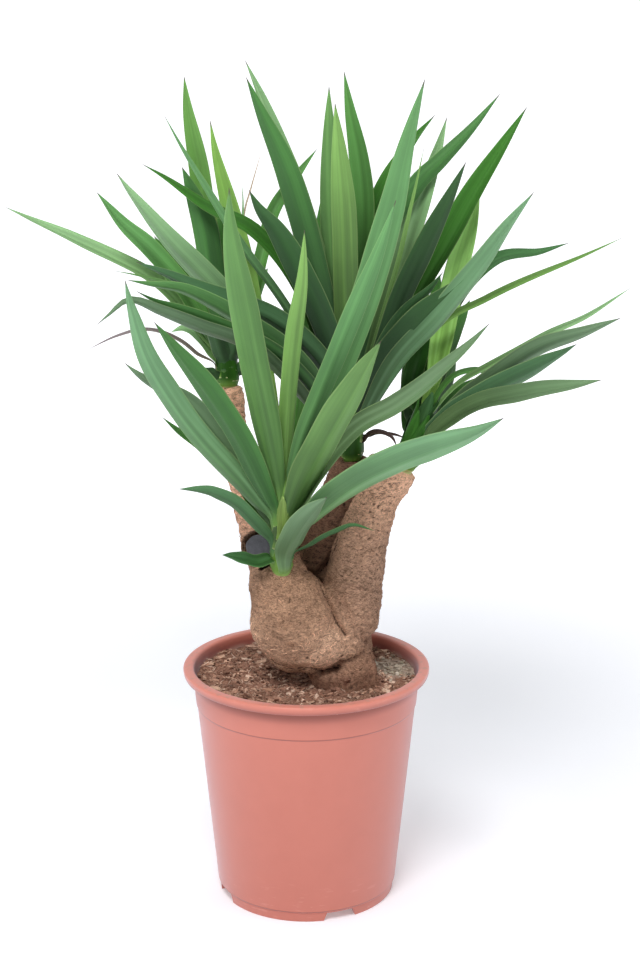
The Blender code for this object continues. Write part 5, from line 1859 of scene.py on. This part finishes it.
def add_blade(bm, head, leaf, turn_rule, seed, shade):
    """One fine leaf along its path, with its marks for the finish kept on its vertices."""
    path = leaf_path(head, leaf)
    middle, heading = along(path, 0.5)
    turn = turn_rule(heading, (EYE - middle).normalized())
    width = leaf.width / WIDTH_MM / (math.cos(turn) if turn_rule is shown_turn else 1.0)
    rng = random.Random(seed)
    folds = Folds(rng.uniform(0, math.tau), rng.uniform(*FOLD_COUNT), rng.uniform(-1.0, 1.0))
    sections = blade_sections(path, turn, rng.uniform(-MOST_TWIST, MOST_TWIST))
    plant = (seed * SEED_STEP % 1.0, shade, rng.uniform(*LIGHTNESS))
    clasp = clasp_of(head, path, sections[0.0][1])
    length, stem_length = length_of(path), length_of(head_path(head))

    def place(share, angle):
        centre, across, lift = sections[share]
        aside, above = math.cos(angle), math.sin(angle)
        reach = max(width * blade_width(share), LEAST_WIDTH) / 2
        marks = {"blade": (aside, share, underside(above)), "tint": TONES[leaf.tone], "plant": plant}
        sideways, raised = section_point(share, aside, above, reach, folds)
        free = centre + across * sideways + lift * raised
        if share >= clasp.ends:
            return free, marks
        at = STEM_LOW + STEM_SPAN * leaf.at + share * length * UP_THE_STEM / stem_length
        clasped = clasped_point(head, clasp, at, share, aside, above, reach)
        return clasped.lerp(free, eased(share / clasp.ends)), marks

    skin(bm, BLADE_SIDES, list(sections), place)


print("Tones:", len(TONES))

# %% [markdown]
# ## One head
# A head is a stem with low ridges where old leaves sat, the scales that those left, and the blades. Each
# scale wraps half round the stem and ends in a point, and the next one stands 137.5 degrees farther round,
# the angle by which plants space their leaves. The front shoot has none low down, where its stem shows
# smooth and green.

# %% Head, its stem and its scales
STEM_SIDES = 28
STEM_RINGS = 26
STEM_RIDGE = 0.0005
STEM_RIDGES = 60
RIDGES_ABOVE = 0.15
# The stem's marks: a number, the depth of the shade painted near its foot, and its lightness.
STEM_MARKS = (0.5, 0.6, 1.0)
SHEATH_COUNT = 10
SHEATH_LENGTH = (0.042, 0.062)
SHEATH_LEAN = (0.001, 0.004)
SHEATH_LIGHT = (0.9, 1.25)
# How dark the shade painted on the scales is.
SHEATH_PAINTED_SHADE = 0.6
SHEATH_LOW, SHEATH_SPAN = 0.10, 0.60
SHEATH_TURN = math.radians(137.5)
SHEATH_FIRST = math.radians(250)
SHEATH_WRAP = math.radians(86)
SHEATH_THICKNESS = 0.0014
SHEATH_SIDES = 18
SHEATH_SECTIONS = 16


def evenly(count):
    """This many shares from 0 to 1."""
    return [index / (count - 1) for index in range(count)]


def add_stem(bm, head, tone):
    """The stem, narrow at the foot that stands in the trunk, with the low ridges of old leaf bases."""
    stem = stem_frame(head)

    def place(share, angle):
        ridge = STEM_RIDGE * math.sin(share * STEM_RIDGES + math.sin(angle) * 2)
        away = stem_radius(head, share) + (ridge if share > RIDGES_ABOVE else 0.0)
        blade = (math.cos(angle * 3) * 0.6, 0.010 + 0.13 * share, 0.0)
        marks = {"blade": blade, "plant": STEM_MARKS, "tint": TONES[tone]}
        return round_stem(stem, share, angle, away), marks

    skin(bm, STEM_SIDES, evenly(STEM_RINGS), place)


def add_sheath(bm, head, index, tone):
    """One scale: the broad foot of an old leaf, which wraps half round the stem and ends in a point."""
    stem = stem_frame(head)
    rng = random.Random(index)
    start = SHEATH_LOW + SHEATH_SPAN * index / SHEATH_COUNT
    length = rng.uniform(*SHEATH_LENGTH) / (stem[1] - stem[0]).length
    lean, light = rng.uniform(*SHEATH_LEAN), rng.uniform(*SHEATH_LIGHT)
    facing = SHEATH_FIRST + index * SHEATH_TURN
    plant = (index * 0.29 % 1.0, SHEATH_PAINTED_SHADE, light)

    def place(share, angle):
        aside, above = math.cos(angle), math.sin(angle)
        turn = facing + aside * SHEATH_WRAP * max(0.03, 1 - share) ** 0.8
        lift = SHEATH_GAP + lean * share * share + above * SHEATH_THICKNESS / 2 * (1 - 0.7 * share)
        at = start + length * share
        blade = (aside * 0.9, 0.015 + 0.6 * share, underside(above))
        marks = {"blade": blade, "plant": plant, "tint": TONES[tone]}
        return round_stem(stem, at, turn, stem_radius(head, at) + lift), marks

    skin(bm, SHEATH_SIDES, evenly(SHEATH_SECTIONS), place)


print("Scales on a stem:", SHEATH_COUNT)

# %% [markdown]
# The blades are added leaf by leaf. Shade is painted darker into the blades near their foot, where leaves
# shade one another, and how dark it is differs from head to head: the middle head's leaves shade one another
# most.

# %% Heads
# Painted shade: how dark each head's blades are painted near their foot.
PAINTED_BASE_SHADES = {"front_shoot": 0.80, "left_head": 1.00, "middle_head": 0.42, "right_head": 0.72}
FIRST_SHEATHS = {"front_shoot": 4}
STEM_TONES = {"front_shoot": ("grass", ("sheath", "sheath", "grey", "grass"))}
OTHER_STEM_TONES = ("deep", ("rich", "deep", "shade"))
SEEDS_PER_HEAD = 100


def make_head(name, head, seed):
    bm = bmesh.new()
    for layer in ("blade", "plant"):
        bm.verts.layers.float_vector.new(layer)
    bm.verts.layers.float_color.new("tint")
    stem_tone, sheath_tones = STEM_TONES.get(name, OTHER_STEM_TONES)
    add_stem(bm, head, stem_tone)
    for index in range(FIRST_SHEATHS.get(name, 0), SHEATH_COUNT):
        add_sheath(bm, head, index, sheath_tones[index % len(sheath_tones)])
    for turn_rule, leaves in ((shown_turn, head.leaves), (natural_turn, head.hidden)):
        for leaf in leaves.values():
            seed += 1
            add_blade(bm, head, leaf, turn_rule, seed, PAINTED_BASE_SHADES[name])
    made = piece_from(bm, name + "_leaves")
    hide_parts(name)
    return made


heads = [make_head(name, head, SEEDS_PER_HEAD * index) for index, (name, head) in enumerate(HEADS.items())]
for made in heads:
    print(made.name, len(made.data.polygons), "faces")

# %% [markdown]
# The leaf's finish follows the blade and not space, so it reads the marks kept on the mesh. Fine and broad
# streaks run lengthwise, one half of the fold is painted lighter than the other as if it faced the light,
# shade is painted darker and less blue towards the base, and a waxy bloom, which also stands for a painted
# pale sheen, pales the broad streaks and the outer half of the blade. The margins are thin and pale, the
# foot fades to the yellow green and cream of leaf that never saw light, the last few millimetres are a
# brown spine, and the underside is duller. Fine ribs and a low gloss give the satin skin.

# %% Leaves, finish
# The bloom's colour, which also stands for a painted pale sheen towards the tip.
BLOOM_AND_SHEEN_SHADE = (1.7, 1.5, 1.9, 1.0)
UNDERSIDE_TONE = colour(120, 150, 128)
MARGIN_TONE = colour(168, 190, 124)
FOOT_TONE = colour(128, 168, 72)
CREAM_TONE = colour(222, 224, 168)
SPINE_TONE = colour(86, 76, 70)


def make_leaf_finish():
    material, tree, shader = new_material("leaf")
    blade, plant = axes(tree, mark(tree, "blade", "Vector")), axes(tree, mark(tree, "plant", "Vector"))
    across, share, under = blade["X"], blade["Y"], blade["Z"]
    seed, shade, light = plant["X"], plant["Y"], plant["Z"]
    tint, spot = mark(tree, "tint"), object_spot(tree)

    def streaks(count, stretch, detail):
        """Noise drawn out along the blade, with this many streaks across it and different on each leaf."""
        lengthwise, apart = times(tree, share, stretch), times(tree, seed, 91.0)
        spread = joined(tree, times(tree, across, count), lengthwise, apart)
        return cloud(tree, spread, 1.0, detail)

    fine, broad = streaks(24.0, 2.2, 3.0), streaks(2.1, 1.3, 1.0)
    value = times(tree, fade(tree, fine, 0.25, 0.75, 0.88, 1.11), fade(tree, broad, 0.30, 0.70, 0.84, 1.16))
    # Painted shade: darker towards the foot, by the head's depth of shade.
    value = times(tree, value, fade(tree, share, 0.12, 0.98, shade, 1.14))
    # Painted light and shade: one half of the fold lighter than the other.
    half = times(tree, across, fade(tree, seed, 0.49, 0.51, -1.0, 1.0))
    value = times(tree, value, fade(tree, half, -0.12, 0.12, 0.88, 1.10))
    patches = fade(tree, cloud(tree, spot, 22.0, 2.0), 0.3, 0.7, 0.92, 1.08)
    value = times(tree, value, times(tree, patches, light))
    # The painted shade at the foot takes out more blue.
    blue = times(tree, value, fade(tree, share, 0.10, 0.80, 0.78, 1.04))
    base = blend(tree, 1.0, tint, joined(tree, value, value, blue), "MULTIPLY")
    # Waxy bloom and painted sheen: paler on the broad streaks and towards the tip.
    bloom_and_sheen = maths(tree, "ADD", fade(tree, broad, 0.50, 0.76, 0.0, 0.36),
                  fade(tree, share, 0.35, 0.95, 0.0, 0.30))
    base = blend(tree, bloom_and_sheen, base, blend(tree, 1.0, tint, BLOOM_AND_SHEEN_SHADE, "MULTIPLY"))
    base = blend(tree, times(tree, under, 0.14), base, UNDERSIDE_TONE)
    margin = fade(tree, maths(tree, "ABSOLUTE", across), 0.90, 0.985)
    base = blend(tree, times(tree, margin, 0.25), base, MARGIN_TONE)
    base = blend(tree, fade(tree, share, 0.13, 0.02, 0.0, 0.5), base, FOOT_TONE)
    base = blend(tree, fade(tree, share, 0.040, 0.006, 0.0, 0.8), base, CREAM_TONE)
    tip_edge = maths(tree, "ADD", share, times(tree, maths(tree, "SUBTRACT", fine, 0.5), 0.02))
    base = blend(tree, fade(tree, tip_edge, 0.974, 0.996), base, SPINE_TONE)
    ribs = maths(tree, "ADD", fine, streaks(60.0, 3.0, 2.0))
    dress(tree, shader, Base_Color=base, Roughness=fade(tree, fine, 0.2, 0.8, 0.34, 0.46),
          Specular_IOR_Level=0.13, Normal=bump(tree, 0.28, 0.0004, ribs))
    return material


leaf_finish = make_leaf_finish()
for made in heads:
    finish_piece(made, leaf_finish)
print("Leaf finish on", len(heads), "heads")

# %% [markdown]
# ## The sizes
# The finished plant should fill the same box as its frame. Both boxes are printed next to each other.

# %% Print the two boxes and the faces
plant_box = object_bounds()
sizes = {
    "cad_box": [list(corner) for corner in frame_box],
    "visual_box": [list(corner) for corner in plant_box],
}
for name, (low, high) in sizes.items():
    print(name, [round((b - a) * 1000, 1) for a, b in zip(low, high)], "mm")
shown = [thing for thing in bpy.context.scene.objects if thing.type == "MESH" and not thing.hide_render]
print("Faces in all:", sum(len(thing.data.polygons) for thing in shown))
